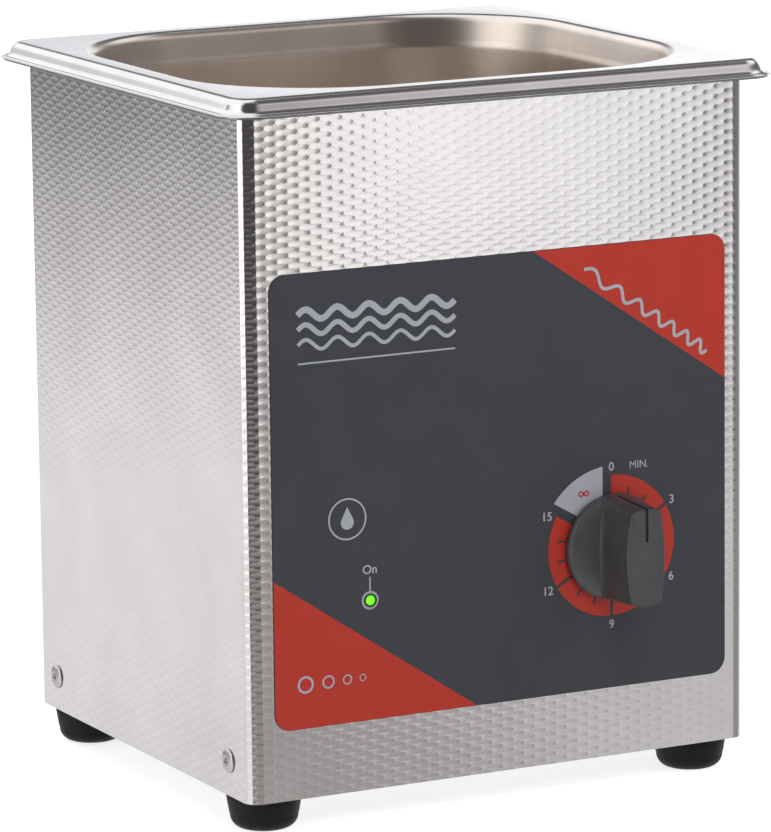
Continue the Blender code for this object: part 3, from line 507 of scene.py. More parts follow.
def add(name, bm, finish, offset=(0, 0, 0), rotation=(0, 0, 0), smooth=35, **extra):
    """Turns a bmesh into a piece that rides on a CAD body."""
    bm.transform(Matrix.LocRotScale(Vector(offset), Euler(rotation), None))
    mesh = bpy.data.meshes.new(name)
    bm.to_mesh(mesh)
    bm.free()
    mesh.shade_smooth()
    mesh.set_sharp_from_angle(angle=math.radians(smooth))
    return link(name, mesh, finish, **extra)


# ---------------------------------------------------------------- casing


def rolled_height(s, z):
    """Rolled pattern: long shallow dents in a brick layout that meet in soft ridges."""
    bowls = []
    for shift in (0.0, 0.5):
        across = s / PITCH_S + shift
        up = z / PITCH_Z + shift
        ends = END_RISE * np.abs(2 * (across - np.round(across))) ** END_POWER
        bowls.append(ends + EDGE_RISE * (4 * (up - np.round(up))) ** 2)
    first, second = bowls
    blend = np.clip(0.5 + 0.5 * (second - first) / RIDGE_SOFTNESS, 0, 1)
    return second + (first - second) * blend - RIDGE_SOFTNESS * blend * (1 - blend)


def sheet_height(s, z):
    """Distance of the outer surface from the plain sheet's face: pattern and faint buckling."""
    broad = np.sin(s / (31 * MM) + 0.7) * np.sin(z / (27 * MM) + 0.4)
    slanted = 0.5 * np.sin(s / (17 * MM) - z / (23 * MM))
    return rolled_height(s, z) - EDGE_RISE + BUCKLING * (broad + slanted)


def wrapped(s):
    """Face position and outward normal at length s along the sheet from the front's middle."""
    side, along = np.sign(s), np.abs(s)
    first = np.clip((along - FRONT_HALF) / BEND, 0, math.pi / 2)
    run = np.clip(along - FRONT_HALF - QUARTER, 0, 2 * SIDE_HALF)
    second = np.clip((along - FRONT_HALF - QUARTER - 2 * SIDE_HALF) / BEND, 0, math.pi / 2)
    x = np.minimum(along, FRONT_HALF) + BEND * (np.sin(first) + np.cos(second) - 1)
    y = -SIDE_HALF - BEND * np.cos(first) + run + BEND * np.sin(second)
    turn = first + second
    return side * x, y, side * np.sin(turn), -np.cos(turn)


def rolled_piece(name, s0, s1, z0, z1, fineness):
    """One piece of the rolled outer surface, from its ends in pitches along and in height."""
    columns = int(round(abs(s1 - s0) * MESH_COLUMNS * fineness)) + 1
    rows = int(math.ceil((z1 - z0) / PITCH_Z * MESH_ROWS)) + 1
    s, z = np.meshgrid(np.linspace(s0, s1, columns) * PITCH_S, np.linspace(z0, z1, rows))
    x, y, nx, ny = wrapped(s)
    height = sheet_height(s, z)
    ahead, behind = s + SLOPE_STEP, s - SLOPE_STEP
    slope_s = (sheet_height(ahead, z) - sheet_height(behind, z)) / (2 * SLOPE_STEP)
    above, below = z + SLOPE_STEP, z - SLOPE_STEP
    slope_z = (sheet_height(s, above) - sheet_height(s, below)) / (2 * SLOPE_STEP)
    points = np.stack([x + nx * height, y + ny * height, z], -1).reshape(-1, 3)
    normals = np.stack([nx + ny * slope_s, ny - nx * slope_s, -slope_z], -1).reshape(-1, 3)
    normals /= np.linalg.norm(normals, axis=1)[:, None]
    corner = (np.arange(rows - 1)[:, None] * columns + np.arange(columns - 1)).reshape(-1)
    ring = [corner, corner + 1, corner + columns + 1, corner + columns]
    if s1 < s0:
        ring = ring[::-1]
    faces = np.stack(ring, -1)
    mesh = bpy.data.meshes.new(name)
    mesh.from_pydata(points.tolist(), [], faces.tolist())
    mesh.shade_smooth()
    mesh.normals_split_custom_set_from_vertices(normals.tolist())
    link(name, mesh, "casing_steel")


def make_shell():
    """The folded sheet as the CAD has it, its outer face drawn in under the rolled surface."""
    shell = bmesh.new()
    shell.from_mesh(frame["nodes"]["casing"].data)
    bmesh.ops.remove_doubles(shell, verts=shell.verts, dist=WELD)
    core = Vector((FRONT_HALF, SIDE_HALF))
    for vert in shell.verts:
        far = Vector((max(0.0, abs(vert.co.x) - core.x), max(0.0, abs(vert.co.y) - core.y)))
        if abs(far.length - BEND) < SHELL_TOLERANCE:
            inward = far.normalized() * SHELL_INSET
            vert.co.x -= math.copysign(inward.x, vert.co.x)
            vert.co.y -= math.copysign(inward.y, vert.co.y)
    add("casing_shell", shell, "casing_steel", replaces=("casing",))


def make_casing():
    make_shell()
    film_low, film_top = FILM_LOW_ROW * PITCH_Z, FILM_TOP_ROW * PITCH_Z
    middle = MIDDLE_ROW * PITCH_Z
    rolled_piece("casing_front_upper", -FRONT_END, FRONT_END, film_top, CASING_TOP, 1)
    rolled_piece("casing_front_lower", -FRONT_END, FRONT_END, 0, film_low, 1)
    rear = (FRONT_HALF + 2 * QUARTER + 2 * SIDE_HALF) / PITCH_S
    for side, word in ((-1, "left"), (1, "right")):
        front, bend, back = side * FRONT_END, side * BEND_END, side * SIDE_END
        rolled_piece(f"casing_bend_{word}", front, bend, 0, CASING_TOP, 2)
        rolled_piece(f"casing_{word}_lower", bend, back, 0, middle, 1)
        rolled_piece(f"casing_{word}_upper", bend, back, middle, CASING_TOP, 1)
        rolled_piece(f"casing_rear_bend_{word}", back, side * rear, 0, CASING_TOP, 2)


# ---------------------------------------------------------------- tank


def narrowed(row, inset, drop):
    """A row of the tank further in and further down."""
    half_x, half_y, corner, z = row
    return half_x - inset, half_y - inset, corner - inset, z - drop


def tank_rows():
    """Half sizes, corner radius and height of the upper surface, from the lip to the floor."""
    profile = [(0.1 * MM, LIP_TOP - 0.25 * MM), (0.0, LIP_TOP - 0.1 * MM), (0.1 * MM, LIP_TOP)]
    for step in range(SKIRT_STEPS + 1):
        along, up = polar(SKIRT_FILLET, 270 + SKIRT_SLOPE * step / SKIRT_STEPS)
        profile.append((LIP_FLAT + along, LIP_TOP + SKIRT_FILLET + up))
    along, up = polar(EDGE_ROLL, 90 + SKIRT_SLOPE)
    drop = RIM_TOP - EDGE_ROLL + up - profile[-1][1]
    start = profile[-1][0] + drop / math.tan(math.radians(SKIRT_SLOPE)) - along
    for step in range(SKIRT_STEPS + 1):
        along, up = polar(EDGE_ROLL, 90 + SKIRT_SLOPE * (1 - step / SKIRT_STEPS))
        profile.append((start + along, RIM_TOP - EDGE_ROLL + up))
    rows = [(LIP_X - inset, LIP_Y - inset, LIP_CORNER - inset, z) for inset, z in profile]
    for step in range(ROLL_STEPS + 1):
        across, up = polar(ROLL, 90 - ROLL_END * step / ROLL_STEPS)
        opening = (OPENING_X - across, OPENING_Y - across, OPENING_CORNER - across)
        rows.append((*opening, RIM_TOP - ROLL + up))
    shoulder = rows[-1]
    drop = shoulder[3] - (RIM_TOP - SHOULDER_DEPTH)
    inset = drop / math.tan(math.radians(ROLL_END))
    rows += [narrowed(shoulder, inset * share, drop * share) for share in (0.5, 0.86, 0.95, 1.0)]
    # A shallow step keeps stacked pans apart.
    ledge = rows[-1]
    rows += [narrowed(ledge, inset * MM, drop * MM) for inset, drop in STACKING_STEP]
    wall_top = rows[-1]
    wall = wall_top[3] - (RIM_TOP - TANK_DEPTH) - FLOOR_FILLET
    taper = math.tan(math.radians(WALL_TAPER))
    for share in (0.01, 0.03, 0.3, 0.6, 0.9):
        rows.append(narrowed(wall_top, wall * share * taper, wall * share))
    wall_foot = narrowed(wall_top, wall * taper, wall)
    for step in range(FLOOR_STEPS + 1):
        across, up = polar(FLOOR_FILLET, 90 * step / FLOOR_STEPS)
        rows.append(narrowed(wall_foot, FLOOR_FILLET - across, up))
    return rows


def offset_rows(rows, distance):
    """The rows moved square to the surface, for the sheet's other side."""
    sharpest = 0.5  # cosine that limits how far a sharp turn's point moves
    moved = []
    for i, (half_x, half_y, corner, z) in enumerate(rows):
        normals = []
        for a, b in ((i - 1, i), (i, i + 1)):
            if a >= 0 and b < len(rows):
                along = Vector((rows[b][0] - rows[a][0], rows[b][3] - rows[a][3]))
                if along.length > 0:
                    along.normalize()
                    normals.append(Vector((-along.y, along.x)))
        normal = sum(normals, Vector((0, 0))).normalized()
        shift = normal * (distance / max(sharpest, normal.dot(normals[0])))
        moved.append((half_x + shift.x, half_y + shift.x, corner + shift.x, z + shift.y))
    return moved


def make_tank():
    upper = tank_rows()
    lower = offset_rows(upper, TANK_SHEET)
    loops = []
    for half_x, half_y, corner, z in upper[::-1] + lower:
        outline = rounded_rectangle(half_x, half_y, max(corner, SMALLEST_CORNER), CORNER_STEPS)
        loops.append([(x, y, z) for x, y in outline])
    add("tank_pan", loft(loops), "tank_steel", smooth=60, replaces=("tank",))


# ---------------------------------------------------------------- front film


def on_film(bm, layer):
    """Lays a shape drawn in X and Z on the film; layer 0 sits on the film, 1 on that."""
    bm.transform(Euler(FACE_FRONT).to_matrix().to_4x4())
    bm.transform(Matrix.Translation((0, -FILM_FACE - layer * INK, 0)))
    return bm


def printed(name, outline, finish, layer=0, holes=()):
    shape = on_film(prism(outline, -0.2 * INK, INK, holes), layer)
    return add(name, shape, finish, slot="panel_film")


def lettering(name, text, height, at, finish, layer=0, weight=0.016):
    """Plain characters, centred on a point of the film; weight is a share of their height."""
    curve = bpy.data.curves.new(name, "FONT")
    curve.body = text
    curve.size = height / 0.73  # a capital's share of the font size
    curve.align_x, curve.align_y = "CENTER", "CENTER"
    curve.resolution_u = 6
    curve.extrude = 0.5 * INK
    curve.offset = weight * height
    helper = bpy.data.objects.new(name, curve)
    bpy.context.collection.objects.link(helper)
    graph = bpy.context.evaluated_depsgraph_get()
    mesh = bpy.data.meshes.new_from_object(helper.evaluated_get(graph))
    bm = bmesh.new()
    bm.from_mesh(mesh)
    bpy.data.objects.remove(helper)
    across = [vert.co.x for vert in bm.verts]
    upright = [vert.co.y for vert in bm.verts]
    middle = ((min(across) + max(across)) / 2, (min(upright) + max(upright)) / 2)
    shift = (at[0] - middle[0], at[1] - middle[1], 0.5 * INK)
    bmesh.ops.translate(bm, verts=bm.verts, vec=shift)
    return add(name, on_film(bm, layer), finish, slot="panel_film")


def sector(inner, outer, start, end, clear_start=0.0, clear_end=0.0, steps=24):
    """A ring sector of the dial, in degrees clockwise from the top. Each end edge is a
    straight line that runs beside its radius, at the given clearance."""
    outline = []
    for radius, turned in ((inner, False), (outer, True)):
        first = 90 - start - math.degrees(math.asin(clear_start / radius))
        last = 90 - end + math.degrees(math.asin(clear_end / radius))
        points = arc(DIAL, radius, first, last, steps)
        outline += points[::-1] if turned else points
    return outline


def stroke(points, width):
    """A constant-width outline along a polyline."""
    left, right = [], []
    for i, point in enumerate(points):
        before = Vector(points[max(0, i - 1)])
        after = Vector(points[min(len(points) - 1, i + 1)])
        along = (after - before).normalized()
        normal = Vector((-along.y, along.x)) * (width / 2)
        left.append(tuple(Vector(point) + normal))
        right.append(tuple(Vector(point) - normal))
    return left + right[::-1]


def wave(start, end, swing, waves, width, steps=24, growth=0.0):
    """A sine stroke from one point to another, whose waves may quicken on the way."""
    start, end = Vector(start), Vector(end)
    along = end - start
    normal = Vector((-along.y, along.x)).normalized()
    points = []
    count = int(waves * steps)
    for i in range(count + 1):
        share = i / count
        phase = 2 * math.pi * waves * share * (1 + growth * (share - 1))
        points.append(tuple(start + along * share + normal * swing * math.sin(phase)))
    return stroke(points, width)


def make_film():
    centre = ((FILM_LOW.x + FILM_HIGH.x) / 2, (FILM_LOW.z + FILM_HIGH.z) / 2)
    half_x, half_z = (FILM_HIGH.x - FILM_LOW.x) / 2, (FILM_HIGH.z - FILM_LOW.z) / 2
    thick = FILM_FACE - CASING_Y + FILM_SINK
    outer = rounded_rectangle(half_x, half_z, FILM_CORNER, 16, centre)
    inner = rounded_rectangle(half_x - FILM_EDGE, half_z - FILM_EDGE, FILM_CORNER - FILM_EDGE,
                              16, centre)
    holes = [circle(LED_HOLE, 32, LED), circle(SHAFT_HOLE, 32, DIAL)]
    plate = on_film(prism(outer, -thick, -FILM_EDGE, holes), 0)
    top = on_film(prism(inner, -thick / 2, 0, holes), 0)
    add("film_base", merged(plate, top), "panel_film", replaces=("control_panel",))
    # The red corners are cut off by two parallel diagonals.
    angle = math.radians(DIAGONAL)
    normal = (math.sin(angle), math.cos(angle))
    upper = normal[0] * UPPER_RED_FROM + normal[1] * FILM_HIGH.z
    lower = normal[0] * FILM_LOW.x + normal[1] * LOWER_RED_FROM
    printed("film_red_upper", clipped(inner, (-normal[0], -normal[1]), -upper), "film_red")
    printed("film_red_lower", clipped(inner, normal, lower), "film_red")


def make_dial_print():
    for i in range(DIAL_PARTS):
        start, end = i * DIAL_STEP, (i + 1) * DIAL_STEP
        clear_start = DIAL_GAP / 2 if i > 0 else 0.0
        clear_end = DIAL_GAP / 2 if i < DIAL_PARTS - 1 else 0.0
        ring = sector(DIAL_INNER, DIAL_OUTER, start, end, clear_start, clear_end)
        printed(f"dial_ring_{i + 1}", ring, "film_red")
        for j in (1, 2):
            at = start + j * DIAL_STEP / 3
            tick = sector(DIAL_INNER, TICK_REACH, at - TICK_HALF, at + TICK_HALF, steps=2)
            printed(f"dial_tick_{i + 1}_{j}", tick, "panel_film", layer=1)
    # The wider pale sector stands for continuous running.
    last = DIAL_PARTS * DIAL_STEP
    pale = sector(DIAL_INNER, PALE_REACH, last, 360, PALE_CLEAR, PALE_CLEAR)
    printed("dial_sector", pale, "print_white")
    for text, x, z in DIAL_NUMBERS:
        lettering(f"dial_number_{text}", text, TEXT_HEIGHT, (x * MM, z * MM), "print_white")
    unit_at = (46.3 * MM, 87.8 * MM)
    lettering("dial_unit", "MIN.", 2.4 * MM, unit_at, "print_white", weight=0.0)


def make_endless_sign():
    """A lying figure of eight for continuous running, as two strokes that cross."""
    at = Vector((27.5, 80.7)) * MM
    points = []
    for i in range(ENDLESS_STEPS + 1):
        turn = 2 * math.pi * (i / ENDLESS_STEPS + 0.25)
        reach = ENDLESS_REACH * math.cos(turn) / (1 + math.sin(turn) ** 2)
        points.append((at.x + reach, at.y + ENDLESS_TALL * reach * math.sin(turn)))
    half = ENDLESS_STEPS // 2
    parts = [prism(stroke(points[k:k + half + 1], 0.44 * MM), 0, INK) for k in (0, half)]
    add("dial_endless", on_film(merged(*parts), 1), "film_red", slot="panel_film")


def make_lamp_print():
    x, z = LED
    ring = 2.75 * MM
    leader = stroke([(x, z + ring), (x, z + 7.0 * MM)], 0.42 * MM)
    hole = circle(LED_HOLE, 40, LED)
    printed("lamp_ring", circle(ring, 40, LED), "print_white", holes=[hole])
    printed("lamp_leader", leader, "print_white")
    lettering("lamp_label", "On", TEXT_HEIGHT, (x, 65.9 * MM), "print_white")


def make_plain_motifs():
    """Plain wave and bubble shapes where a product carries its own markings."""
    left, right = -66.0 * MM, -15.0 * MM
    for i, (z, width) in enumerate(((142.6, 1.9), (138.2, 1.5), (133.8, 1.1))):
        shape = wave((left, z * MM), (right, z * MM), 1.5 * MM, 5, width * MM)
        printed(f"motif_wave_{i + 1}", shape, "print_grey")
    line_z = 128.4 * MM
    printed("motif_line", stroke([(left, line_z), (right, line_z)], 0.5 * MM), "print_grey")
    # A ring with a drop in it, about the liquid.
    at = Vector((-50.8, 81.5)) * MM
    ring, hole = circle(6.2 * MM, 64, at), circle(5.7 * MM, 64, at)
    printed("symbol_ring", ring, "print_grey", holes=[hole])
    drop = arc(at - Vector((0, 1.0 * MM)), 2.1 * MM, 150, 390, 24)
    drop.append((at.x, at.y + 3.6 * MM))
    printed("symbol_drop", drop, "print_grey")
    # A wave that quickens along the upper diagonal, and bubbles in the lower corner.
    angle = math.radians(-DIAGONAL)
    start = Vector((28.0, 147.8)) * MM
    end = start + Vector((math.cos(angle), math.sin(angle))) * (50.0 * MM)
    sweep = wave(start, end, 1.6 * MM, 7, 1.0 * MM, growth=0.45)
    printed("motif_sweep", sweep, "print_white", layer=1)
    for i, (x, radius) in enumerate(((-65.0, 2.6), (-57.6, 2.0), (-51.4, 1.5), (-46.4, 1.1))):
        centre = (x * MM, 34.0 * MM)
        outer, inner = circle(radius * MM, 40, centre), circle(0.74 * radius * MM, 40, centre)
        printed(f"motif_bubble_{i + 1}", outer, "print_white", layer=1, holes=[inner])


def make_lamp():
    lens = [(0, -7.0), (1.9, -7.0), (1.9, -6.0), (1.55, -6.0), (1.55, 0.5)]
    lens += [(1.55 * math.cos(t), 0.5 + 0.9 * math.sin(t)) for t in np.linspace(0.15, 1.4, 8)]
    lens.append((0, 1.4))
    holder = [(1.62, -0.2), (1.98, -0.2), (1.98, 0.84), (1.88, 0.95), (1.72, 0.95), (1.62, 0.84)]
    face = (LED[0], -CASING_Y, LED[1])
    add("lamp_lens", lathe(in_mm(lens), 40), "green_lens", face, FACE_FRONT,
        replaces=("status_led",))
    add("lamp_holder", lathe(in_mm(holder), 40), "black_plastic", face, FACE_FRONT)


# ---------------------------------------------------------------- knob


def grip_loop(height, grow):
    """The grip bar's outline at a height, grown outwards, with rounded corners."""
    reach = GRIP_REACH - (GRIP_REACH - GRIP_REACH_TOP) * height / GRIP_TOP
    flank = []
    for i in range(GRIP_STEPS + 1):
        share = 2 * i / GRIP_STEPS - 1
        y = share * (math.sqrt(reach**2 - GRIP_END**2) - GRIP_CORNER)
        half = GRIP_END + (GRIP_MIDDLE - GRIP_END) * (1 - (y / GRIP_CURVE) ** 2)
        flank.append((half + grow * (1 - (y / reach) ** 2), y))
    side, top = flank[-1]
    corner = arc((side - GRIP_CORNER, top), GRIP_CORNER, 15, 75, 4)
    # Each end bows out between its corners.
    corner_reach = math.hypot(*corner[-1])
    start = math.degrees(math.atan2(corner[-1][1], corner[-1][0]))
    bow = []
    for i in range(1, BOW_STEPS):
        swell = (reach - corner_reach) * math.sin(math.pi * i / BOW_STEPS) * GRIP_BOW
        bow.append(polar(corner_reach + swell, start + (180 - 2 * start) * i / BOW_STEPS))
    end = corner + bow + [(-x, y) for x, y in corner[::-1]]
    return flank + end + [(-x, y) for x, y in flank[::-1]] + [(x, -y) for x, y in end[::-1]]


def upright_plate(outline, half):
    """A plate across the grip, from an outline of (reach, height) points."""
    plate = prism(in_mm(outline), -half * MM, half * MM)
    plate.transform(Matrix(((0, 0, 1, 0), (1, 0, 0, 0), (0, 1, 0, 0), (0, 0, 0, 1))))
    return plate


def make_knob():
    face = (DIAL[0], -CASING_Y, DIAL[1])
    skirt = [(9.5, 1.3), (15.7, 1.3), (15.93, 1.4), (16.0, 1.6), (16.0, 2.4), (15.95, 2.8)]
    skirt += [(15.8, 3.2), (15.4, 3.7), (14.7, 4.25), (13.6, 4.75), (12.0, 5.2), (10.0, 5.5)]
    skirt += [(7.0, 5.75), (4.0, 5.87), (0.0, 5.9), (0.0, 4.3), (9.5, 4.3)]
    add("knob_skirt", lathe(in_mm(skirt), 96), "knob_plastic", face, FACE_FRONT,
        body=KNOB_BODY, replaces=("timer_knob",))
    rows = [(height, 0.0) for height in GRIP_LEVELS]
    for across, up in arc((0.0, 0.0), GRIP_ROUND, 0, 90, 6)[1:]:
        rows.append((GRIP_TOP - GRIP_ROUND + up, GRIP_ROUND - across))
    loops = []
    for height, inset in rows:
        left_over = min(1.0, max(0.0, 1 - (height - FLARE_FROM) / FLARE_HEIGHT))
        outline = grip_loop(height, FLARE * left_over**FLARE_POWER - inset)
        loops.append([(x * MM, y * MM, height * MM) for x, y in outline])
    groove = [(4.9, 20.9), (13.95, 20.9), (15.4, 3.3), (17.5, 3.3), (17.5, 23), (4.9, 23)]
    grip = cut(loft(loops), upright_plate(groove, GROOVE_HALF))
    add("knob_grip", grip, "knob_plastic", face, FACE_FRONT, body=KNOB_BODY, smooth=28)
    # A near-black strip at the groove's bottom paints the shade inside the pointer groove; the
    # groove itself is cut in the grip.
    groove_shade = [(5.1, 20.7), (13.8, 20.7), (15.2, 3.7), (15.3, 3.7), (13.9, 20.95), (5.1, 20.95)]
    add("knob_pointer_shade", upright_plate(groove_shade, GROOVE_SHADE_HALF), "black_plastic", face, FACE_FRONT,
        body=KNOB_BODY, slot="knob_plastic")


# ---------------------------------------------------------------- feet, rivets


def box_centre(node):
    low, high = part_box(node)
    return (low + high) / 2


def make_feet():
    low = -FOOT_HEIGHT
    profile = [(2.4, -0.3), (10.8, -0.3), (11.05, -0.45), (11.12, -0.8), (11.06, -1.2)]
    profile += [(10.35, -5.6), (10.1, -6.4)]
    profile += arc((6.1, low + 4.0), 4.0, -6, -84, 14)
    profile += [(5.4, low), (4.9, low), (4.7, low + 0.25), (4.7, -6.4), (2.4, -6.4)]
    for node in FEET:
        at = box_centre(node)
        add(f"{node}_rubber", lathe(in_mm(profile), 72), "black_rubber", (at.x, at.y, 0),
            smooth=40, replaces=(node,))


def make_rivets():
    """Blind rivets: a domed flange round the broken stem of the mandrel."""
    flange = [(1.05, -0.9), (1.07, 0.72), (1.2, 0.92), (1.5, 1.0), (2.1, 0.93), (2.8, 0.74)]
    flange += [(3.3, 0.5), (3.53, 0.34), (3.6, 0.16), (3.5, 0.0), (1.9, 0.0), (1.9, -3.2)]
    flange += [(1.05, -3.2)]
    stem = [(0, -0.3), (0.5, -0.36), (0.85, -0.5), (1.0, -0.75), (1.0, -2.6), (0, -2.6)]
    for side, word, turn in ((-1, "left", FACE_LEFT), (1, "right", FACE_RIGHT)):
        for end in ("front", "rear"):
            node = f"side_rivet_{word}_{end}"
            at = box_centre(node)
            place = (side * (CASING_X + RIVET_GAP), at.y, at.z)
            add(f"{node}_flange", lathe(in_mm(flange), 48), "zinc_steel", place, turn,
                slot="plain_steel", replaces=(node,))
            # The stem's near-black dark steel paints the shade inside the rivet's hole.
            add(f"{node}_stem", lathe(in_mm(stem), 24), "dark_steel", place, turn,
                slot="plain_steel")


# ---------------------------------------------------------------- CAD pieces that stay


def dress_cad_nodes():
    """Gives each CAD node its material, and the ones still shown broken edges."""
    for node, piece in frame["nodes"].items():
        finish = SLOT_OF[node]
        piece.data.materials.clear()
        piece.data.materials.append(MATERIALS[finish])
        if piece.hide_render:
            continue
        weld = piece.modifiers.new("weld", "WELD")
        weld.merge_threshold = WELD
        bevel = piece.modifiers.new("bevel", "BEVEL")
        bevel.width = EDGE_BEVEL
        bevel.segments = 2
        bevel.limit_method = "ANGLE"
        bevel.angle_limit = math.radians(EDGE_ANGLE)


# ---------------------------------------------------------------- studio


# Fields of the sky as (azimuth from the front, half width, edge, low, high, edge, tint, strength),
# in degrees; later ones cover earlier ones.
SKY_BASE = (0.5, 0.48, 0.46)
SKY_FIELDS = (
    (180, 100, 15, -10, 95, 3, (1.0, 1.0, 1.0), 1.35),  # pale wall behind
    (162, 8, 7, -10, 13, 4, (0.96, 0.97, 1.04), 0.82),  # its greyer part
    (-32, 57, 1.5, -95, 76, 8, (1.0, 0.94, 0.94), 0.08),  # unlit room round the camera
    (0, 190, 1, -95, -11.5, 2.8, (1.0, 0.93, 0.91), 0.36),  # table
    (150, 58, 8, -95, -11.5, 2.8, (1.0, 0.98, 0.97), 0.85),  # its lit part behind
    (-50, 26, 5, -95, -16.5, 2.5, (1.0, 0.98, 0.97), 0.75),  # its lit part in front, left
    (0, 190, 1, -95, -27, 4, (1.0, 0.98, 0.97), 0.8),  # its lit part next to the object
    (-148, 42, 5, -12, 6, 2.5, (0.97, 0.95, 1.06), 0.19),  # dark strip of wall, behind left
    (-148, 42, 5, 9, 15, 2.5, (1.0, 1.0, 1.0), 0.75),  # grey above it
    (-122, 18, 5, 10, 27, 3, (1.0, 0.97, 0.95), 0.3),  # unlit wall further left
    (-148, 44, 5, -95, -8.8, 2.7, (1.0, 0.98, 0.99), 0.95),  # lit table below it
    (-148, 44, 5, -95, -14.5, 2.5, (1.0, 0.98, 0.99), 0.78),  # nearer part of the table
    (30.15, 3.9, 0.12, -95, 7, 3, (1.0, 0.99, 0.99), 1.26),  # soft box, front right
    (35.7, 6.6, 2.5, -11.5, 28, 2.8, (0.99, 0.99, 1.02), 0.95),  # its dimmer right part
    (57.6, 26.5, 0.7, -11.5, 28, 2.8, (1.0, 0.95, 0.92), 0.22),  # shaded right
    (28.2, 3.2, 1.5, -95, -11.3, 2.6, (1.0, 0.96, 0.95), 0.43),  # table below the soft box
    (32.7, 4, 2.0, -95, -11.3, 2.6, (1.0, 0.98, 1.0), 0.68),  # its brighter right part
    (38, 25, 8, 33, 48, 4, (1.0, 0.94, 0.91), 0.5),  # grey ceiling
    (52, 18, 3, 33, 48, 4, (1.0, 0.96, 0.95), 0.95),  # its paler right part
    (-83, 20, 3, -95, 70, 10, (1.0, 1.0, 1.0), 1.5),  # tall soft box on the left
    (-83, 20, 3, -95, -11.5, 2, (1.0, 0.98, 0.99), 1.0),  # lit table below it
    (100, 22, 6, -11.5, 28, 8, (1.0, 0.95, 0.92), 0.2),  # shaded far right
    (78, 46, 6, 52, 76, 4, (1.0, 0.93, 0.9), 0.14),  # shaded ceiling on the right
    (146, 24, 4, 14, 58, 4, (1.0, 0.93, 0.9), 0.16),  # shaded corner behind right
)


def sky_colour(tree):
    """World colour by direction: bright and dark fields that the steel reflects."""
    s = Nodes(tree)
    direction = s.add("TexCoord").outputs["Generated"]
    elevation = s.math("ARCSINE", s.add("SeparateXYZ", {0: direction}).outputs["Z"])
    colour = rgba(SKY_BASE)
    for middle, half, soft, low, high, soft_up, tint, strength in SKY_FIELDS:
        turned = s.add("VectorRotate", {"Vector": direction, "Angle": math.radians(-middle)},
                       rotation_type="Z_AXIS").outputs[0]
        across, ahead, _ = s.add("SeparateXYZ", {0: turned}).outputs
        azimuth = s.math("ARCTAN2", across, s.math("MULTIPLY", ahead, -1.0))
        edges = (
            (s.math("ABSOLUTE", azimuth), half + soft, half - soft),
            (elevation, low - soft_up, low + soft_up),
            (elevation, high + soft_up, high - soft_up),
        )
        mask = 1.0
        for value, start, end in edges:
            limits = {"Value": value, "From Min": math.radians(start), "From Max": math.radians(end)}
            step = s.add("MapRange", limits, interpolation_type="SMOOTHSTEP").outputs[0]
            mask = s.math("MULTIPLY", step, mask)
        colour = s.mix(mask, colour, (*(channel * strength for channel in tint), 1.0))
    return colour


def make_world():
    """The sky lights the object and shows in it; the camera sees plain white behind."""
    world = bpy.data.worlds.new("studio")
    world.use_nodes = True
    s = Nodes(world.node_tree)
    sky = s.tree.nodes["Background"]
    s.set(sky.inputs["Color"], sky_colour(s.tree))
    white = s.add("Background", {"Color": rgba((1, 1, 1))})
    seen = s.add("LightPath").outputs["Is Camera Ray"]
    choice = s.add("MixShader", {0: seen, 1: sky.outputs[0], 2: white.outputs[0]})
    s.set(s.tree.nodes["World Output"].inputs["Surface"], choice.outputs[0])
    bpy.context.scene.world = world


LIGHT_AIM = (0.0, 0.0, 0.1)
LIGHTS = {  # place, aim, diameter, watts
    "key": ((-0.2, -1.4, 1.2), LIGHT_AIM, 0.9, 16),
    "fill": ((1.0, -0.9, 0.7), LIGHT_AIM, 0.9, 6),
    "back": ((0.2, 1.2, 1.2), (0.0, 0.0, 0.0), 1.0, 14),
}
FLOOR_REACH = 12.0
FLOOR_GLOW = 0.78  # keeps the floor close to the white behind it


def add_light(name, place, aim, size, power):
    light = bpy.data.lights.new(name, "AREA")
    light.shape = "DISK"
    light.size = size
    light.energy = power
    lamp = bpy.data.objects.new(name, light)
    lamp.location = place
    lamp.rotation_mode = "QUATERNION"
    lamp.rotation_quaternion = (Vector(aim) - Vector(place)).to_track_quat("-Z", "Y")
    lamp.visible_glossy = False
    bpy.context.collection.objects.link(lamp)


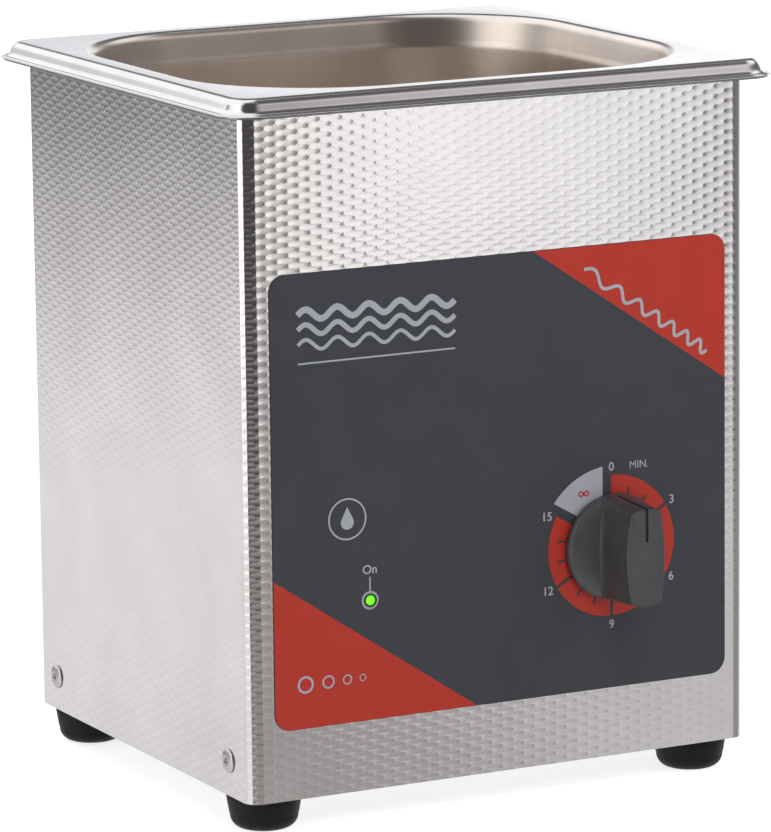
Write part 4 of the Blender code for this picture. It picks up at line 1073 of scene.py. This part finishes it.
def floor_paper():
    s = Shader("floor_paper")
    fibre = s.noise(0.12, 4.0)
    tone = s.mix(s.ramp(fibre, 0.0, 1.0), rgba((0.4, 0.4, 0.4)), rgba((0.44, 0.44, 0.44)))
    return s.finish(Base_Color=tone, Roughness=0.8, Specular_IOR_Level=0.1,
                    Emission_Color=rgba((1, 1, 1)), Emission_Strength=FLOOR_GLOW,
                    Normal=s.bump(fibre, 0.05, 0.1 * MM))


def make_floor():
    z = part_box("foot_front_left")[0].z
    corners = [(-1, -1), (1, -1), (1, 1), (-1, 1)]
    points = [(x * FLOOR_REACH, y * FLOOR_REACH, z) for x, y in corners]
    mesh = bpy.data.meshes.new("floor")
    mesh.from_pydata(points, [], [(0, 1, 2, 3)])
    mesh.materials.append(floor_paper())
    floor = bpy.data.objects.new("floor", mesh)
    floor.visible_glossy = False
    bpy.context.collection.objects.link(floor)


def make_stage():
    make_world()
    for name, settings in LIGHTS.items():
        add_light(name, *settings)
    make_floor()


CAMERA_AZIMUTH = 27.291  # degrees to the left of the front
CAMERA_ELEVATION = 10.952
CAMERA_ROLL = -0.655  # degrees
CAMERA_DISTANCE = 1.75716
CAMERA_AIM = (0.00065, 0.0, 0.09429)
CAMERA_LENS = 250.26  # millimetres, for a 36 mm sensor


def make_camera():
    azimuth, elevation = math.radians(CAMERA_AZIMUTH), math.radians(CAMERA_ELEVATION)
    back = Vector((-math.sin(azimuth) * math.cos(elevation),
                   -math.cos(azimuth) * math.cos(elevation), math.sin(elevation)))
    right = (-back).cross(Vector((0, 0, 1))).normalized()
    up = right.cross(-back)
    roll = math.radians(CAMERA_ROLL)
    right, up = (right * math.cos(roll) + up * math.sin(roll),
                 up * math.cos(roll) - right * math.sin(roll))
    data = bpy.data.cameras.new("camera")
    data.lens = CAMERA_LENS
    data.sensor_width = 36.0
    data.clip_start, data.clip_end = 0.05, 50.0
    camera = bpy.data.objects.new("camera", data)
    place = Matrix((right, up, back)).transposed().to_4x4()
    place.translation = Vector(CAMERA_AIM) + back * CAMERA_DISTANCE
    camera.matrix_world = place
    bpy.context.collection.objects.link(camera)
    bpy.context.scene.camera = camera


make_casing()
make_tank()
make_film()
make_dial_print()
make_endless_sign()
make_lamp_print()
make_plain_motifs()
make_lamp()
make_knob()
make_feet()
make_rivets()
dress_cad_nodes()
make_stage()
make_camera()
bpy.context.scene.view_settings.view_transform = "Standard"
